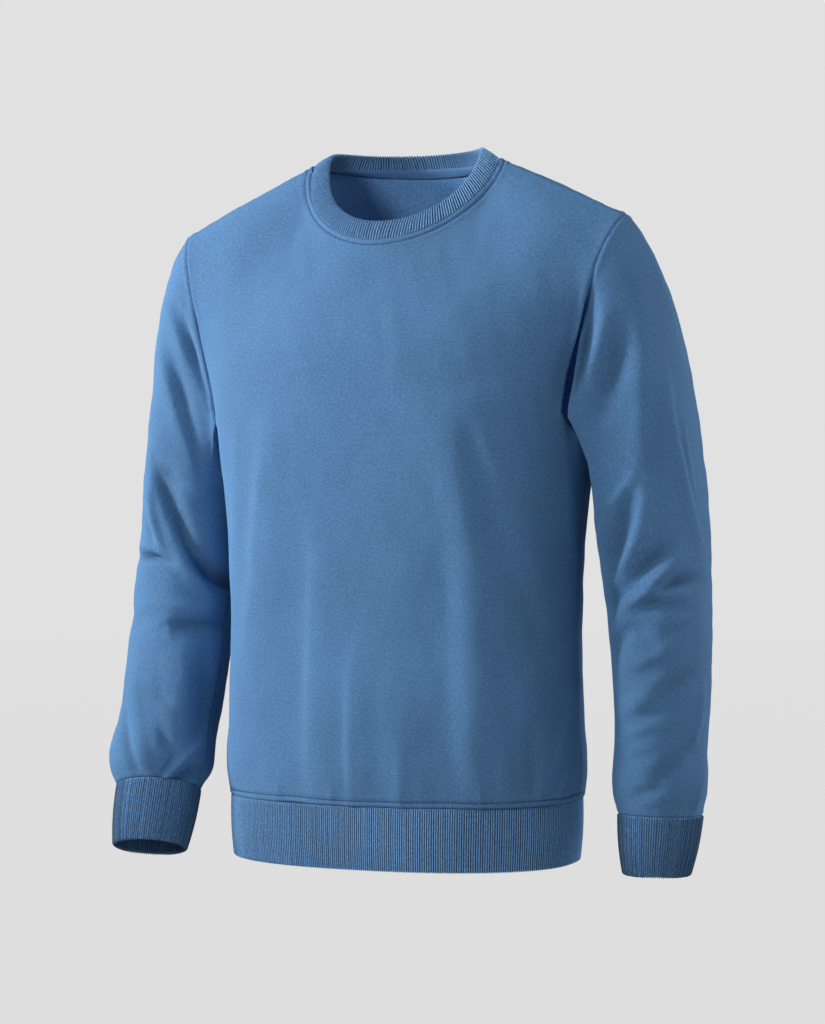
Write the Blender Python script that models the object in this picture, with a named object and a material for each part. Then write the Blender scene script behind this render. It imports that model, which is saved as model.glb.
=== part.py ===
"""Crewneck sweatshirt in brushed fleece, in the hollow shape that it has when worn.

Units are metres and +Z is up. The wearer faces -Y, so +X is the wearer's left.
The origin is the centre of the neck, level with the high points of the shoulder seams,
where the wearer holds the garment up. Nothing but cloth is modelled: the neck, the hem
and the cuffs are open.

Every piece is first a thin sheet of outer points worked out from named sizes and short
tables. Neighbouring sheets share their seam points. Each sheet then becomes a wall, with
its seam edges drawn back so that the pieces lie SEAM_GAP apart.
"""
import math

import bmesh
import bpy
import numpy as np

# ---------------------------------------------------------------- walls and seams
FLEECE_WALL = 0.0020
RIB_WALL = 0.0028
RIB_RELIEF = 0.0005
TAPE_WALL = 0.0010
TAPE_WIDTH = 0.0100
TAPE_SETBACK = 0.0018
SEAM_GAP = 0.0003
CORNER_LIMIT = 0.35
TAPE_GAP = 0.0012

# ---------------------------------------------------------------- neck and shoulders
# The neck seam and the band's rim are ovals that dip at the front. "reach" is how far the
# middle lies from the shoulder line, and the powers round the oval's corners.
OVAL_COLUMNS = ("half_width", "reach", "side", "middle", "power_x", "power_y", "power_z")
NECK_SEAM = {
    "front": (0.1002, 0.0660, 0.0012, -0.0824, 1.10, 1.10, 1.00),
    "back": (0.1002, 0.0620, 0.0012, 0.0023, 1.10, 1.40, 1.00),
}
NECK_RIM = {
    "front": (0.0820, 0.0540, 0.0145, -0.0626, 0.94, 1.38, 1.00),
    "back": (0.0820, 0.0520, 0.0145, 0.0160, 0.94, 1.38, 1.00),
}
NECK_TILT = -0.0300
SHOULDER_TIP = (0.2340, -0.0170, -0.0630)
SHOULDER_TILT = -0.0120
SHOULDER_CROWN = 0.0005

# Direction in which each panel arrives at its top edge: at the middle of the neck, at the
# high point of the shoulder, half way along the shoulder seam and at the shoulder tip.
SLOPE_COLUMNS = ("place", "x", "y", "z")
TOP_SLOPES = {
    "front": (
        (0.0000, 0.00, 0.35, 0.94),
        (0.5000, 0.00, 0.57, 0.82),
        (0.6500, 0.05, 0.80, 0.60),
        (0.8125, 0.25, 0.82, 0.50),
    ),
    "back": (
        (0.0000, 0.00, -0.40, 0.90),
        (0.5000, 0.00, -0.95, -0.10),
        (0.6500, 0.00, -0.97, -0.20),
        (0.8125, 0.10, -0.95, -0.20),
    ),
}

# ---------------------------------------------------------------- body
HEM_SEAM = -0.6180
HEM_BAND_HEIGHT = 0.0600
HEM_BAND_TAPER = 0.985
# The hem drops towards the wearer's right by HEM_TILT of the distance across, and the drop
# fades in over HEM_TILT_SPAN from HEM_TILT_TOP downwards.
HEM_TILT = 0.020
HEM_TILT_TOP = -0.3500
HEM_TILT_SPAN = 0.2500
UNDERARM = -0.2800
CHEST_LINE_RISE = 0.0900
CHEST_LINE_EASE = 2.0

# Level sections of the body: rounded boxes whose corners BODY_SQUARENESS sets.
BODY_SQUARENESS = 2.35
BODY_COLUMNS = ("height", "half_width", "front", "back")
BODY_SECTIONS = (
    (-0.640, 0.1790, 0.1050, 0.1000),
    (-0.618, 0.1800, 0.1060, 0.1010),
    (-0.598, 0.1830, 0.1095, 0.1030),
    (-0.540, 0.1810, 0.1085, 0.1000),
    (-0.450, 0.1795, 0.1070, 0.0950),
    (-0.380, 0.1815, 0.1090, 0.1000),
    (-0.310, 0.1885, 0.1120, 0.1100),
    (-0.250, 0.1970, 0.1120, 0.1170),
    (-0.190, 0.2060, 0.1080, 0.1170),
)

# ---------------------------------------------------------------- sleeves and cuffs
# Path of each arm, from just below the armhole to the cuff's end. "out" is the distance
# from the middle of the body and "fore" is towards the front of it.
ARM_COLUMNS = ("height", "out", "fore", "half_width", "half_depth", "squareness")
ARM_SECTIONS = {
    "left": (
        (-0.300, 0.2460, -0.0120, 0.0505, 0.0600, 2.60),
        (-0.360, 0.2530, -0.0080, 0.0505, 0.0580, 2.35),
        (-0.430, 0.2605, -0.0030, 0.0480, 0.0530, 2.15),
        (-0.500, 0.2645, 0.0010, 0.0450, 0.0490, 2.00),
        (-0.560, 0.2645, 0.0040, 0.0425, 0.0460, 2.00),
        (-0.604, 0.2645, 0.0060, 0.0425, 0.0455, 2.00),
        (-0.6215, 0.2650, 0.0070, 0.0385, 0.0400, 2.00),
    ),
    "right": (
        (-0.300, 0.2410, -0.0140, 0.0485, 0.0585, 2.60),
        (-0.360, 0.2485, -0.0150, 0.0490, 0.0565, 2.35),
        (-0.430, 0.2545, -0.0100, 0.0505, 0.0560, 2.15),
        (-0.505, 0.2495, 0.0170, 0.0505, 0.0545, 2.00),
        (-0.560, 0.2470, 0.0380, 0.0495, 0.0525, 2.00),
        (-0.604, 0.2460, 0.0550, 0.0490, 0.0515, 2.00),
        (-0.618, 0.2440, 0.0600, 0.0410, 0.0425, 2.00),
    ),
}
CUFF_ENDS = {
    "left": (-0.6765, 0.2620, 0.0090, 0.0305, 0.0325, 2.00),
    "right": (-0.6745, 0.2415, 0.0810, 0.0355, 0.0375, 2.00),
}
ARMHOLE_CENTRE = (0.2060, 0.0030, -0.1700)
# Directions in which the sleeve leaves the armhole, at the top and under the arm.
SLEEVE_HEAD = (0.70, 0.0, -0.71)
SLEEVE_UNDERARM = (0.34, 0.0, -1.0)
SLEEVE_HEAD_REACH = 0.85
SLEEVE_NEXT = 0.02

# ---------------------------------------------------------------- sampling
ARC_SAMPLES = 181
TANGENT_STEP = 0.0040
HALF_COLUMNS = 16
NECK_COLUMNS = 8
ARMHOLE_COLUMN = 13
BODY_ROWS = (0.0, 0.045, 0.12, 0.25, 0.40, 0.55, 0.70, 0.85, 1.0)
CHEST_STEPS = (0.0, 0.14, 0.27, 0.40, 0.52, 0.64, 0.75, 0.85, 0.93, 1.0)
CHEST_ROWS = len(CHEST_STEPS) - 1
HEAD_ROWS = 6
ARM_ROWS = (0.07, 0.14, 0.21, 0.28, 0.35, 0.42, 0.49, 0.56,
            0.63, 0.70, 0.77, 0.84, 0.90, 0.95, 1.0)
HEM_RIBS = 6
NECK_RIBS = 6
CUFF_RIBS = 4

FLEECE = (0.105, 0.254, 0.521)
RIB = (0.100, 0.245, 0.505)
ROUGHNESS = 0.9
SMOOTH_ANGLE = 40.0


def smooth(knots, values, at):
    """Read a smooth curve through the given knots at one or many places."""
    knots = np.asarray(knots, float)
    values = np.asarray(values, float)
    at = np.asarray(at, float)
    slopes = np.gradient(values, knots)
    left = np.clip(np.searchsorted(knots, at, side="right") - 1, 0, len(knots) - 2)
    span = knots[left + 1] - knots[left]
    t = np.clip((at - knots[left]) / span, 0.0, 1.0)
    start = (2 * t ** 3 - 3 * t ** 2 + 1) * values[left]
    start += (t ** 3 - 2 * t ** 2 + t) * span * slopes[left]
    finish = (3 * t ** 2 - 2 * t ** 3) * values[left + 1]
    finish += (t ** 3 - t ** 2) * span * slopes[left + 1]
    return start + finish


def table(names, rows):
    """Turn a table into one array for each named column."""
    return dict(zip(names, np.array(rows, float).T))


def unit(vectors):
    """Scale each vector to length one."""
    length = np.linalg.norm(vectors, axis=-1, keepdims=True)
    return vectors / np.maximum(length, 1e-12)


def hermite(start, leave, end, arrive, t):
    """Cubic from start to end that leaves and arrives along the given vectors."""
    t = np.asarray(t, float)[..., None]
    point = (2 * t ** 3 - 3 * t ** 2 + 1) * start + (3 * t ** 2 - 2 * t ** 3) * end
    return point + (t ** 3 - 2 * t ** 2 + t) * leave + (t ** 3 - t ** 2) * arrive


def ease(value):
    """Smooth step from 0 to 1."""
    value = np.clip(value, 0.0, 1.0)
    return value * value * (3.0 - 2.0 * value)


BODY = table(BODY_COLUMNS, BODY_SECTIONS)
NECK_SHARE = NECK_COLUMNS / HALF_COLUMNS
ARM_SHARE = ARMHOLE_COLUMN / HALF_COLUMNS
SIDE_TURN = {"front": -1.0, "back": 1.0}


def turn_of(u):
    """Angle on the body's section whose share of the quarter's length is |u|."""
    angles = np.linspace(0.0, math.pi / 2, ARC_SAMPLES)
    power = 2.0 / BODY_SQUARENESS
    x = np.mean(BODY["half_width"]) * np.sin(angles) ** power
    y = np.mean(BODY["front"]) * np.cos(angles) ** power
    steps = np.hypot(np.diff(x), np.diff(y))
    length = np.concatenate(([0.0], np.cumsum(steps)))
    return np.interp(np.abs(u), length / length[-1], angles)


def body_point(panel, u, height):
    """Point of the body's section: u is 0 at the centre and 1 or -1 at the side seams."""
    u = np.asarray(u, float)
    width = smooth(BODY["height"], BODY["half_width"], height)
    depth = smooth(BODY["height"], BODY[panel], height)
    power = 2.0 / BODY_SQUARENESS
    angle = turn_of(u)
    x = np.sign(u) * width * np.sin(angle) ** power
    y = SIDE_TURN[panel] * depth * np.clip(np.cos(angle), 0.0, 1.0) ** power
    fall = ease((HEM_TILT_TOP - height) / HEM_TILT_SPAN)
    return np.stack([x, y, height + HEM_TILT * x * fall], axis=-1)


def chest_line(u):
    """Height at which the chest starts: it meets the armhole under the arm."""
    share = (1.0 - np.abs(u)) / (1.0 - ARM_SHARE)
    return UNDERARM + CHEST_LINE_RISE * share ** 2 / (share ** 2 + CHEST_LINE_EASE)


def oval_point(sizes, panel, q):
    """Neck oval: q is 0 at the middle and 1 or -1 at the high points of the shoulders."""
    oval = dict(zip(OVAL_COLUMNS, sizes[panel]))
    angle = np.abs(q) * math.pi / 2
    share = np.clip(np.cos(angle), 0.0, 1.0)
    x = np.sign(q) * oval["half_width"] * np.sin(angle) ** oval["power_x"]
    y = SIDE_TURN[panel] * oval["reach"] * share ** oval["power_y"]
    z = oval["side"] + (oval["middle"] - oval["side"]) * share ** oval["power_z"]
    return np.stack([x, y, z + NECK_TILT * x], axis=-1)


def top_point(panel, u):
    """Top edge of a panel: the neck seam in the middle, then the shoulder seams."""
    u = np.asarray(u, float)
    neck = oval_point(NECK_SEAM, panel, np.clip(u / NECK_SHARE, -1.0, 1.0))
    along = np.clip((np.abs(u) - NECK_SHARE) / (ARM_SHARE - NECK_SHARE), 0.0, 1.0)[..., None]
    tip = np.array(SHOULDER_TIP) * np.ones_like(neck)
    tip[..., 0] *= np.sign(u)
    tip[..., 2] += SHOULDER_TILT * tip[..., 0]
    seam = neck + along * (tip - neck)
    seam[..., 2] += SHOULDER_CROWN * np.sin(math.pi * along[..., 0])
    return np.where(np.abs(u)[..., None] <= NECK_SHARE, neck, seam)


def chest_point(panel, u, v):
    """Point of the chest or upper back: v is 0 at the chest line and 1 at the top."""
    u = np.asarray(u, float)
    line = chest_line(u)
    start = body_point(panel, u, line)
    below = body_point(panel, u, line - TANGENT_STEP)
    end = top_point(panel, u)
    reach = np.linalg.norm(end - start, axis=-1, keepdims=True)
    slopes = table(SLOPE_COLUMNS, TOP_SLOPES[panel])
    slope = [smooth(slopes["place"], slopes[name], np.abs(u)) for name in "xyz"]
    slope = np.stack(slope, axis=-1)
    slope[..., 0] *= np.sign(u)
    return hermite(start, unit(start - below) * reach, end, unit(slope) * reach, v)


def armhole_point(side, c):
    """Armhole seam: c is 0 under the arm, 0.5 at the shoulder tip, 1 under it again."""
    c = np.asarray(c, float)
    sign = 1.0 if side == "left" else -1.0
    ledge = HALF_COLUMNS - ARMHOLE_COLUMN
    half = ledge + CHEST_ROWS
    step = np.where(c <= 0.5, c, 1.0 - c) * 2.0 * half
    u = sign * (1.0 - np.clip(step / ledge, 0.0, 1.0) * (1.0 - ARM_SHARE))
    v = np.interp(step - ledge, np.arange(CHEST_ROWS + 1), CHEST_STEPS)
    points = {}
    for panel in ("front", "back"):
        low = body_point(panel, u, chest_line(u))
        high = chest_point(panel, sign * ARM_SHARE * np.ones_like(v), v)
        points[panel] = np.where((step <= ledge)[..., None], low, high)
    return np.where((c <= 0.5)[..., None], points["front"], points["back"])


def arm_frame(side, s):
    """Centre, outward and forward directions and half sizes of an arm's ring at s."""
    sign = 1.0 if side == "left" else -1.0
    rows = (*ARM_SECTIONS[side], CUFF_ENDS[side])
    arm = table(ARM_COLUMNS, rows)
    lead = np.array(ARMHOLE_CENTRE)
    centres = np.stack([arm["out"], -arm["fore"], arm["height"]], axis=-1)
    centres = np.concatenate([lead[None], centres])
    centres[:, 0] *= sign
    steps = np.linalg.norm(np.diff(centres, axis=0), axis=-1)
    length = np.concatenate(([0.0], np.cumsum(steps)))
    first = length[1]
    seam = length[-2]
    at = first + np.asarray(s, float) * (seam - first)
    centre = np.stack([smooth(length, centres[:, k], at) for k in range(3)], axis=-1)
    ahead = [smooth(length, centres[:, k], at + TANGENT_STEP) for k in range(3)]
    behind = [smooth(length, centres[:, k], at - TANGENT_STEP) for k in range(3)]
    along = unit(np.stack(ahead, axis=-1) - np.stack(behind, axis=-1))
    forward = np.cross(along, np.array([1.0, 0.0, 0.0]))
    forward = unit(forward * np.where(forward[..., 1:2] > 0.0, -1.0, 1.0))
    outward = np.cross(along, forward)
    outward = unit(outward * np.where(outward[..., :1] * sign < 0.0, -1.0, 1.0))
    sizes = {name: smooth(length[1:], arm[name], at) for name in ARM_COLUMNS[3:]}
    return centre, outward, forward, sizes


def ring_turns(side):
    """Angle on the arm's rings for evenly spaced places round the armhole."""
    count = 2 * (HALF_COLUMNS - ARMHOLE_COLUMN + CHEST_ROWS)
    places = np.linspace(0.0, 1.0, count + 1)
    points = armhole_point(side, places)
    steps = np.linalg.norm(np.diff(points, axis=0), axis=-1)
    half = count // 2
    front = np.cumsum(steps[:half]) / np.sum(steps[:half]) * math.pi
    back = np.cumsum(steps[half:]) / np.sum(steps[half:]) * math.pi + math.pi
    return places, np.concatenate(([0.0], front, back))


def ring_offset(angle, sizes, outward, forward):
    """Step from an arm's centre to its ring, which starts on the side next to the body."""
    power = 2.0 / sizes["squareness"]
    x = -np.sign(np.cos(angle)) * np.abs(np.cos(angle)) ** power * sizes["half_width"]
    y = np.sign(np.sin(angle)) * np.abs(np.sin(angle)) ** power * sizes["half_depth"]
    return x[..., None] * outward + y[..., None] * forward


def arm_ring(side, c, s):
    """Point of the arm below its head: c goes round it and s goes down to the cuff seam."""
    places, turns = ring_turns(side)
    angle = np.interp(c, places, turns)
    centre, outward, forward, sizes = arm_frame(side, s)
    return centre + ring_offset(angle, sizes, outward, forward)


def sleeve_head(side, c, t):
    """Point of the sleeve's head: t is 0 at the armhole and 1 at the first arm ring."""
    sign = 1.0 if side == "left" else -1.0
    places, turns = ring_turns(side)
    angle = np.interp(c, places, turns)
    start = armhole_point(side, c)
    end = arm_ring(side, c, np.zeros_like(angle))
    nearby = arm_ring(side, c, np.full_like(angle, SLEEVE_NEXT))
    reach = np.linalg.norm(end - start, axis=-1, keepdims=True)
    top = ((1.0 - np.cos(angle)) / 2.0)[..., None]
    leave = np.array(SLEEVE_UNDERARM) * (1.0 - top) + np.array(SLEEVE_HEAD) * top
    leave = unit(leave * np.array([sign, 1.0, 1.0]))
    leave = leave * reach * (1.0 + top * (SLEEVE_HEAD_REACH - 1.0))
    return hermite(start, leave, end, unit(nearby - end) * reach, t)


def cuff_end_point(side, c):
    """Point of the cuff's open end."""
    sign = 1.0 if side == "left" else -1.0
    places, turns = ring_turns(side)
    angle = np.interp(c, places, turns)
    _, outward, forward, _ = arm_frame(side, np.ones_like(angle))
    end = dict(zip(ARM_COLUMNS, CUFF_ENDS[side]))
    centre = np.array([sign * end["out"], -end["fore"], end["height"]])
    return centre + ring_offset(angle, end, outward, forward)


# ---------------------------------------------------------------- sheets of outer points
def new_sheet():
    """Empty sheet: its points by name of place, and its faces."""
    return {"index": {}, "points": [], "faces": []}


def add_point(sheet, place, point):
    """Keep a point under the name of its place in the sheet's net."""
    sheet["index"][place] = len(sheet["points"])
    sheet["points"].append(point)


def add_faces(sheet, rows, columns, closed, flipped):
    """Join neighbouring places of the net into four-sided faces."""
    index = sheet["index"]
    total = len(columns)
    last = total if closed else total - 1
    for low, high in zip(rows[:-1], rows[1:]):
        for k in range(last):
            near, far = columns[k], columns[(k + 1) % total]
            corners = [(low, near), (low, far), (high, far), (high, near)]
            if all(corner in index for corner in corners):
                face = [index[corner] for corner in corners]
                sheet["faces"].append(face[::-1] if flipped else face)


def panel_sheet(panel):
    """Front or back of the body, from the hem seam to the neck and shoulders."""
    sheet = new_sheet()
    columns = list(range(-HALF_COLUMNS, HALF_COLUMNS + 1))
    u = np.array(columns) / HALF_COLUMNS
    line = chest_line(u)
    for row, share in enumerate(BODY_ROWS):
        points = body_point(panel, u, HEM_SEAM + (line - HEM_SEAM) * share)
        for column, point in zip(columns, points):
            add_point(sheet, (row, column), point)
    inner = [column for column in columns if abs(column) <= ARMHOLE_COLUMN]
    u = np.array(inner) / HALF_COLUMNS
    first = len(BODY_ROWS) - 1
    for step in range(1, CHEST_ROWS + 1):
        points = chest_point(panel, u, np.full(len(inner), CHEST_STEPS[step]))
        for column, point in zip(inner, points):
            add_point(sheet, (first + step, column), point)
    add_faces(sheet, list(range(first + CHEST_ROWS + 1)), columns, False, panel == "back")
    return sheet


def ring_count():
    """Number of places round an armhole, and so round a sleeve."""
    return 2 * (HALF_COLUMNS - ARMHOLE_COLUMN + CHEST_ROWS)


def sleeve_sheet(side):
    """Sleeve from the armhole seam to the cuff seam."""
    sheet = new_sheet()
    columns = list(range(ring_count()))
    c = np.array(columns) / ring_count()
    rows = []
    for step in range(HEAD_ROWS + 1):
        points = sleeve_head(side, c, np.full(len(c), step / HEAD_ROWS))
        rows.append(points)
    for share in ARM_ROWS:
        rows.append(arm_ring(side, c, np.full(len(c), share)))
    for row, points in enumerate(rows):
        for column, point in zip(columns, points):
            add_point(sheet, (row, column), point)
    add_faces(sheet, list(range(len(rows))), columns, True, side == "left")
    return sheet


def cuff_sheet(side):
    """Cuff from its seam to its open end."""
    sheet = new_sheet()
    columns = list(range(ring_count()))
    c = np.array(columns) / ring_count()
    ends = (arm_ring(side, c, np.ones(len(c))), cuff_end_point(side, c))
    for row, points in enumerate(ends):
        for column, point in zip(columns, points):
            add_point(sheet, (row, column), point)
    add_faces(sheet, [0, 1], columns, True, side == "left")
    return sheet


def loop_places(reach):
    """Columns of a loop that runs across the front and returns across the back."""
    front = [("front", column) for column in range(-reach, reach)]
    back = [("back", column) for column in range(reach, -reach, -1)]
    return front + back


def neckband_sheet():
    """Neckband from the neck seam to its rim."""
    sheet = new_sheet()
    places = loop_places(NECK_COLUMNS)
    for column, (panel, step) in enumerate(places):
        q = np.array(step / NECK_COLUMNS)
        add_point(sheet, (0, column), oval_point(NECK_SEAM, panel, q))
        add_point(sheet, (1, column), oval_point(NECK_RIM, panel, q))
    add_faces(sheet, [0, 1], list(range(len(places))), True, False)
    return sheet


def hem_sheet():
    """Hem band from its open edge up to its seam."""
    sheet = new_sheet()
    places = loop_places(HALF_COLUMNS)
    for column, (panel, step) in enumerate(places):
        seam = body_point(panel, np.array(step / HALF_COLUMNS), np.array(HEM_SEAM))
        edge = seam * np.array([HEM_BAND_TAPER, HEM_BAND_TAPER, 1.0])
        edge = edge - np.array([0.0, 0.0, HEM_BAND_HEIGHT])
        add_point(sheet, (0, column), edge)
        add_point(sheet, (1, column), seam)
    add_faces(sheet, [0, 1], list(range(len(places))), True, False)
    return sheet


# ---------------------------------------------------------------- folds
# Each row is a soft trough (depth below zero) or ridge, seen from one side: "azimuth" is
# the side that it shows on, 0 for the front and 90 for the wearer's left. "across" and
# "height" give its start, middle and end as seen from there.
FOLD_SAMPLES = 25
FOLD_FACING = 0.35
FOLD_END = 0.08
FOLD_COLUMNS = ("azimuth", "across_1", "height_1", "across_2", "height_2",
                "across_3", "height_3", "depth", "spread")
FOLDS = {
    "body": (
        (25.0, -0.150, -0.270, -0.152, -0.380, -0.150, -0.500, 0.0025, 0.014),
        (25.0, -0.126, -0.330, -0.128, -0.440, -0.124, -0.560, -0.0025, 0.013),
        (25.0, -0.093, -0.450, -0.092, -0.530, -0.090, -0.612, 0.0030, 0.013),
        (25.0, -0.066, -0.480, -0.068, -0.550, -0.066, -0.612, -0.0030, 0.012),
        (25.0, 0.018, -0.520, 0.022, -0.570, 0.020, -0.612, -0.0030, 0.014),
        (25.0, 0.148, -0.150, 0.095, -0.230, 0.040, -0.340, -0.0035, 0.028),
        (180.0, 0.125, -0.160, 0.085, -0.250, 0.030, -0.330, -0.0040, 0.026),
        (180.0, -0.130, -0.170, -0.095, -0.250, -0.050, -0.350, -0.0035, 0.024),
        (180.0, -0.060, -0.470, -0.055, -0.540, -0.060, -0.612, 0.0030, 0.014),
        (180.0, 0.075, -0.450, 0.080, -0.530, 0.076, -0.612, -0.0030, 0.015),
    ),
    "left": (
        (25.0, 0.178, -0.280, 0.192, -0.236, 0.209, -0.190, -0.0035, 0.009),
        (25.0, 0.190, -0.440, 0.203, -0.410, 0.236, -0.382, -0.0055, 0.011),
        (25.0, 0.186, -0.412, 0.194, -0.392, 0.212, -0.352, 0.0040, 0.010),
        (25.0, 0.226, -0.416, 0.255, -0.409, 0.280, -0.400, -0.0045, 0.010),
        (25.0, 0.214, -0.440, 0.236, -0.431, 0.266, -0.436, -0.0030, 0.010),
        (205.0, -0.272, -0.405, -0.245, -0.420, -0.205, -0.400, -0.0050, 0.012),
        (205.0, -0.268, -0.450, -0.240, -0.462, -0.205, -0.450, -0.0035, 0.011),
    ),
    "right": (
        (25.0, -0.252, -0.310, -0.228, -0.368, -0.180, -0.428, -0.0060, 0.012),
        (25.0, -0.240, -0.388, -0.212, -0.420, -0.181, -0.442, 0.0040, 0.010),
        (25.0, -0.248, -0.440, -0.217, -0.455, -0.179, -0.472, -0.0055, 0.012),
        (25.0, -0.272, -0.386, -0.258, -0.392, -0.240, -0.391, -0.0045, 0.009),
        (205.0, 0.262, -0.400, 0.232, -0.418, 0.200, -0.405, -0.0050, 0.012),
        (205.0, 0.264, -0.445, 0.240, -0.456, 0.205, -0.450, -0.0035, 0.011),
    ),
}


def fold_depth(rows, points, normals):
    """Depth of all the folds of one group at each point."""
    total = np.zeros(len(points))
    for row in rows:
        fold = dict(zip(FOLD_COLUMNS, row))
        azimuth = math.radians(fold["azimuth"])
        across = points[:, 0] * math.cos(azimuth) + points[:, 1] * math.sin(azimuth)
        facing = normals[:, 0] * math.sin(azimuth) - normals[:, 1] * math.cos(azimuth)
        knots = [np.array([fold["across_%d" % k], fold["height_%d" % k]]) for k in (1, 2, 3)]
        best = np.zeros(len(points))
        for t in np.linspace(0.0, 1.0, FOLD_SAMPLES):
            bend = 2.0 * knots[1] - 0.5 * (knots[0] + knots[2])
            spot = (1 - t) ** 2 * knots[0] + 2 * t * (1 - t) * bend + t * t * knots[2]
            gap = np.hypot(across - spot[0], points[:, 2] - spot[1])
            fade = math.sin(math.pi * (FOLD_END + (1.0 - 2.0 * FOLD_END) * t))
            best = np.maximum(best, fade * np.exp(-(gap / fold["spread"]) ** 2))
        total += fold["depth"] * best * ease(facing / FOLD_FACING)
    return total


# ---------------------------------------------------------------- walls
def key(point):
    """Name of a place in space, shared by the sheets that meet there."""
    return tuple(int(round(value * 1e6)) for value in point)


def border_edges(faces):
    """Edges that only one face uses, in that face's direction."""
    edges = set()
    for face in faces:
        for k in range(len(face)):
            edges.add((face[k], face[(k + 1) % len(face)]))
    return sorted(edge for edge in edges if (edge[1], edge[0]) not in edges)


def seam_neighbours(sheets):
    """Places next to each place along the seams and open edges."""
    beside = {}
    for sheet in sheets.values():
        for a, b in border_edges(sheet["faces"]):
            first, second = sheet["points"][a], sheet["points"][b]
            beside.setdefault(key(first), {})[key(second)] = second
            beside.setdefault(key(second), {})[key(first)] = first
    return beside


def shared_normals(sheets):
    """Outward direction at each place, from all the sheets that meet there.

    Along a seam it is turned square to the seam, so that the walls close on a clean face.
    """
    total = {}
    for sheet in sheets.values():
        points = np.array(sheet["points"])
        for face in sheet["faces"]:
            corners = points[face]
            count = len(face)
            for k in range(count):
                ahead = unit(corners[(k + 1) % count] - corners[k])
                behind = unit(corners[k - 1] - corners[k])
                angle = math.acos(float(np.clip(np.dot(ahead, behind), -1.0, 1.0)))
                normal = unit(np.cross(ahead, behind)) * angle
                place = key(corners[k])
                total[place] = total.get(place, 0.0) + normal
    for place, beside in seam_neighbours(sheets).items():
        if len(beside) == 2:
            before, after = beside.values()
            along = unit(np.asarray(after) - np.asarray(before))
            total[place] = unit(total[place]) - along * float(np.dot(unit(total[place]), along))
    return {place: unit(normal) for place, normal in total.items()}


def drawn_back(points, normals, faces, distance):
    """Move the sheet's border towards its inside by the given distance."""
    outward = {}
    for a, b in border_edges(faces):
        normal = unit(normals[a] + normals[b])
        direction = unit(np.cross(points[b] - points[a], normal))
        outward.setdefault(a, []).append(direction)
        outward.setdefault(b, []).append(direction)
    moved = points.copy()
    for place, directions in outward.items():
        first, second = directions[0], directions[-1]
        share = max(CORNER_LIMIT, 1.0 + float(np.dot(first, second)))
        moved[place] = points[place] - (first + second) / share * distance
    return moved


def wall_mesh(points, normals, faces, thickness, places):
    """Close a sheet into a wall of even thickness.

    The narrow faces at its edges are split the same way on both sides of a seam.
    """
    inner = points - normals * thickness
    count = len(points)
    shapes = [list(face) for face in faces]
    shapes += [[place + count for place in reversed(face)] for face in faces]
    for a, b in border_edges(faces):
        if places[a] < places[b]:
            shapes += [[b, a, b + count], [a, a + count, b + count]]
        else:
            shapes += [[b, a, a + count], [b, a + count, b + count]]
    return np.concatenate([points, inner]), shapes


def ribbed_mesh(sheet, points, normals, thickness, ribs, relief):
    """Close a two-row loop into a wall whose outside carries raised ribs."""
    index = sheet["index"]
    total = len(points) // 2
    bottom_row = [index[(0, k)] for k in range(total)]
    first_face = sheet["faces"][0]
    around = list(zip(first_face, first_face[1:] + first_face[:1]))
    upward = (bottom_row[0], bottom_row[1]) in around
    vertices = []
    outer = [[], []]
    inner = [[], []]
    for row in (0, 1):
        for k in range(total):
            a = index[(row, k)]
            b = index[(row, (k + 1) % total)]
            for step in range(2 * ribs):
                share = step / (2 * ribs)
                point = points[a] * (1 - share) + points[b] * share
                normal = unit(normals[a] * (1 - share) + normals[b] * share)
                outer[row].append(len(vertices))
                vertices.append(point + normal * (relief if step % 2 else 0.0))
        for k in range(total):
            a = index[(row, k)]
            inner[row].append(len(vertices))
            vertices.append(points[a] - normals[a] * thickness)
    fine = len(outer[0])
    shapes = []
    for k in range(fine):
        after = (k + 1) % fine
        shapes.append([outer[0][k], outer[0][after], outer[1][after], outer[1][k]])
    for k in range(total):
        after = (k + 1) % total
        shapes.append([inner[0][after], inner[0][k], inner[1][k], inner[1][after]])
    for row in (0, 1):
        for k in range(total):
            near = inner[row][k]
            far = inner[row][(k + 1) % total]
            for step in range(2 * ribs):
                a = outer[row][k * 2 * ribs + step]
                b = outer[row][(k * 2 * ribs + step + 1) % fine]
                target = near if step < ribs else far
                shape = [b, a, target]
                shapes.append(shape if row == 0 else shape[::-1])
            middle = outer[row][k * 2 * ribs + ribs]
            shape = [middle, near, far]
            shapes.append(shape if row == 0 else shape[::-1])
    if not upward:
        shapes = [shape[::-1] for shape in shapes]
    return np.array(vertices), shapes


# ---------------------------------------------------------------- scene objects
def material(name, colour, roughness):
    """Cloth finish of one piece."""
    finish = bpy.data.materials.new(name)
    finish.use_nodes = True
    shader = finish.node_tree.nodes["Principled BSDF"]
    shader.inputs["Base Color"].default_value = (*colour, 1.0)
    shader.inputs["Roughness"].default_value = roughness
    shader.inputs["Metallic"].default_value = 0.0
    return finish


def add_object(name, vertices, shapes, colour, parent):
    """Make one named cloth piece."""
    mesh = bpy.data.meshes.new(name)
    mesh.from_pydata([tuple(map(float, vertex)) for vertex in vertices], [], shapes)
    net = bmesh.new()
    net.from_mesh(mesh)
    bmesh.ops.recalc_face_normals(net, faces=net.faces)
    net.to_mesh(mesh)
    net.free()
    mesh.shade_smooth()
    mesh.set_sharp_from_angle(angle=math.radians(SMOOTH_ANGLE))
    mesh.materials.append(material(name, colour, ROUGHNESS))
    piece = bpy.data.objects.new(name, mesh)
    piece.parent = parent
    bpy.context.scene.collection.objects.link(piece)
    return piece


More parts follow.
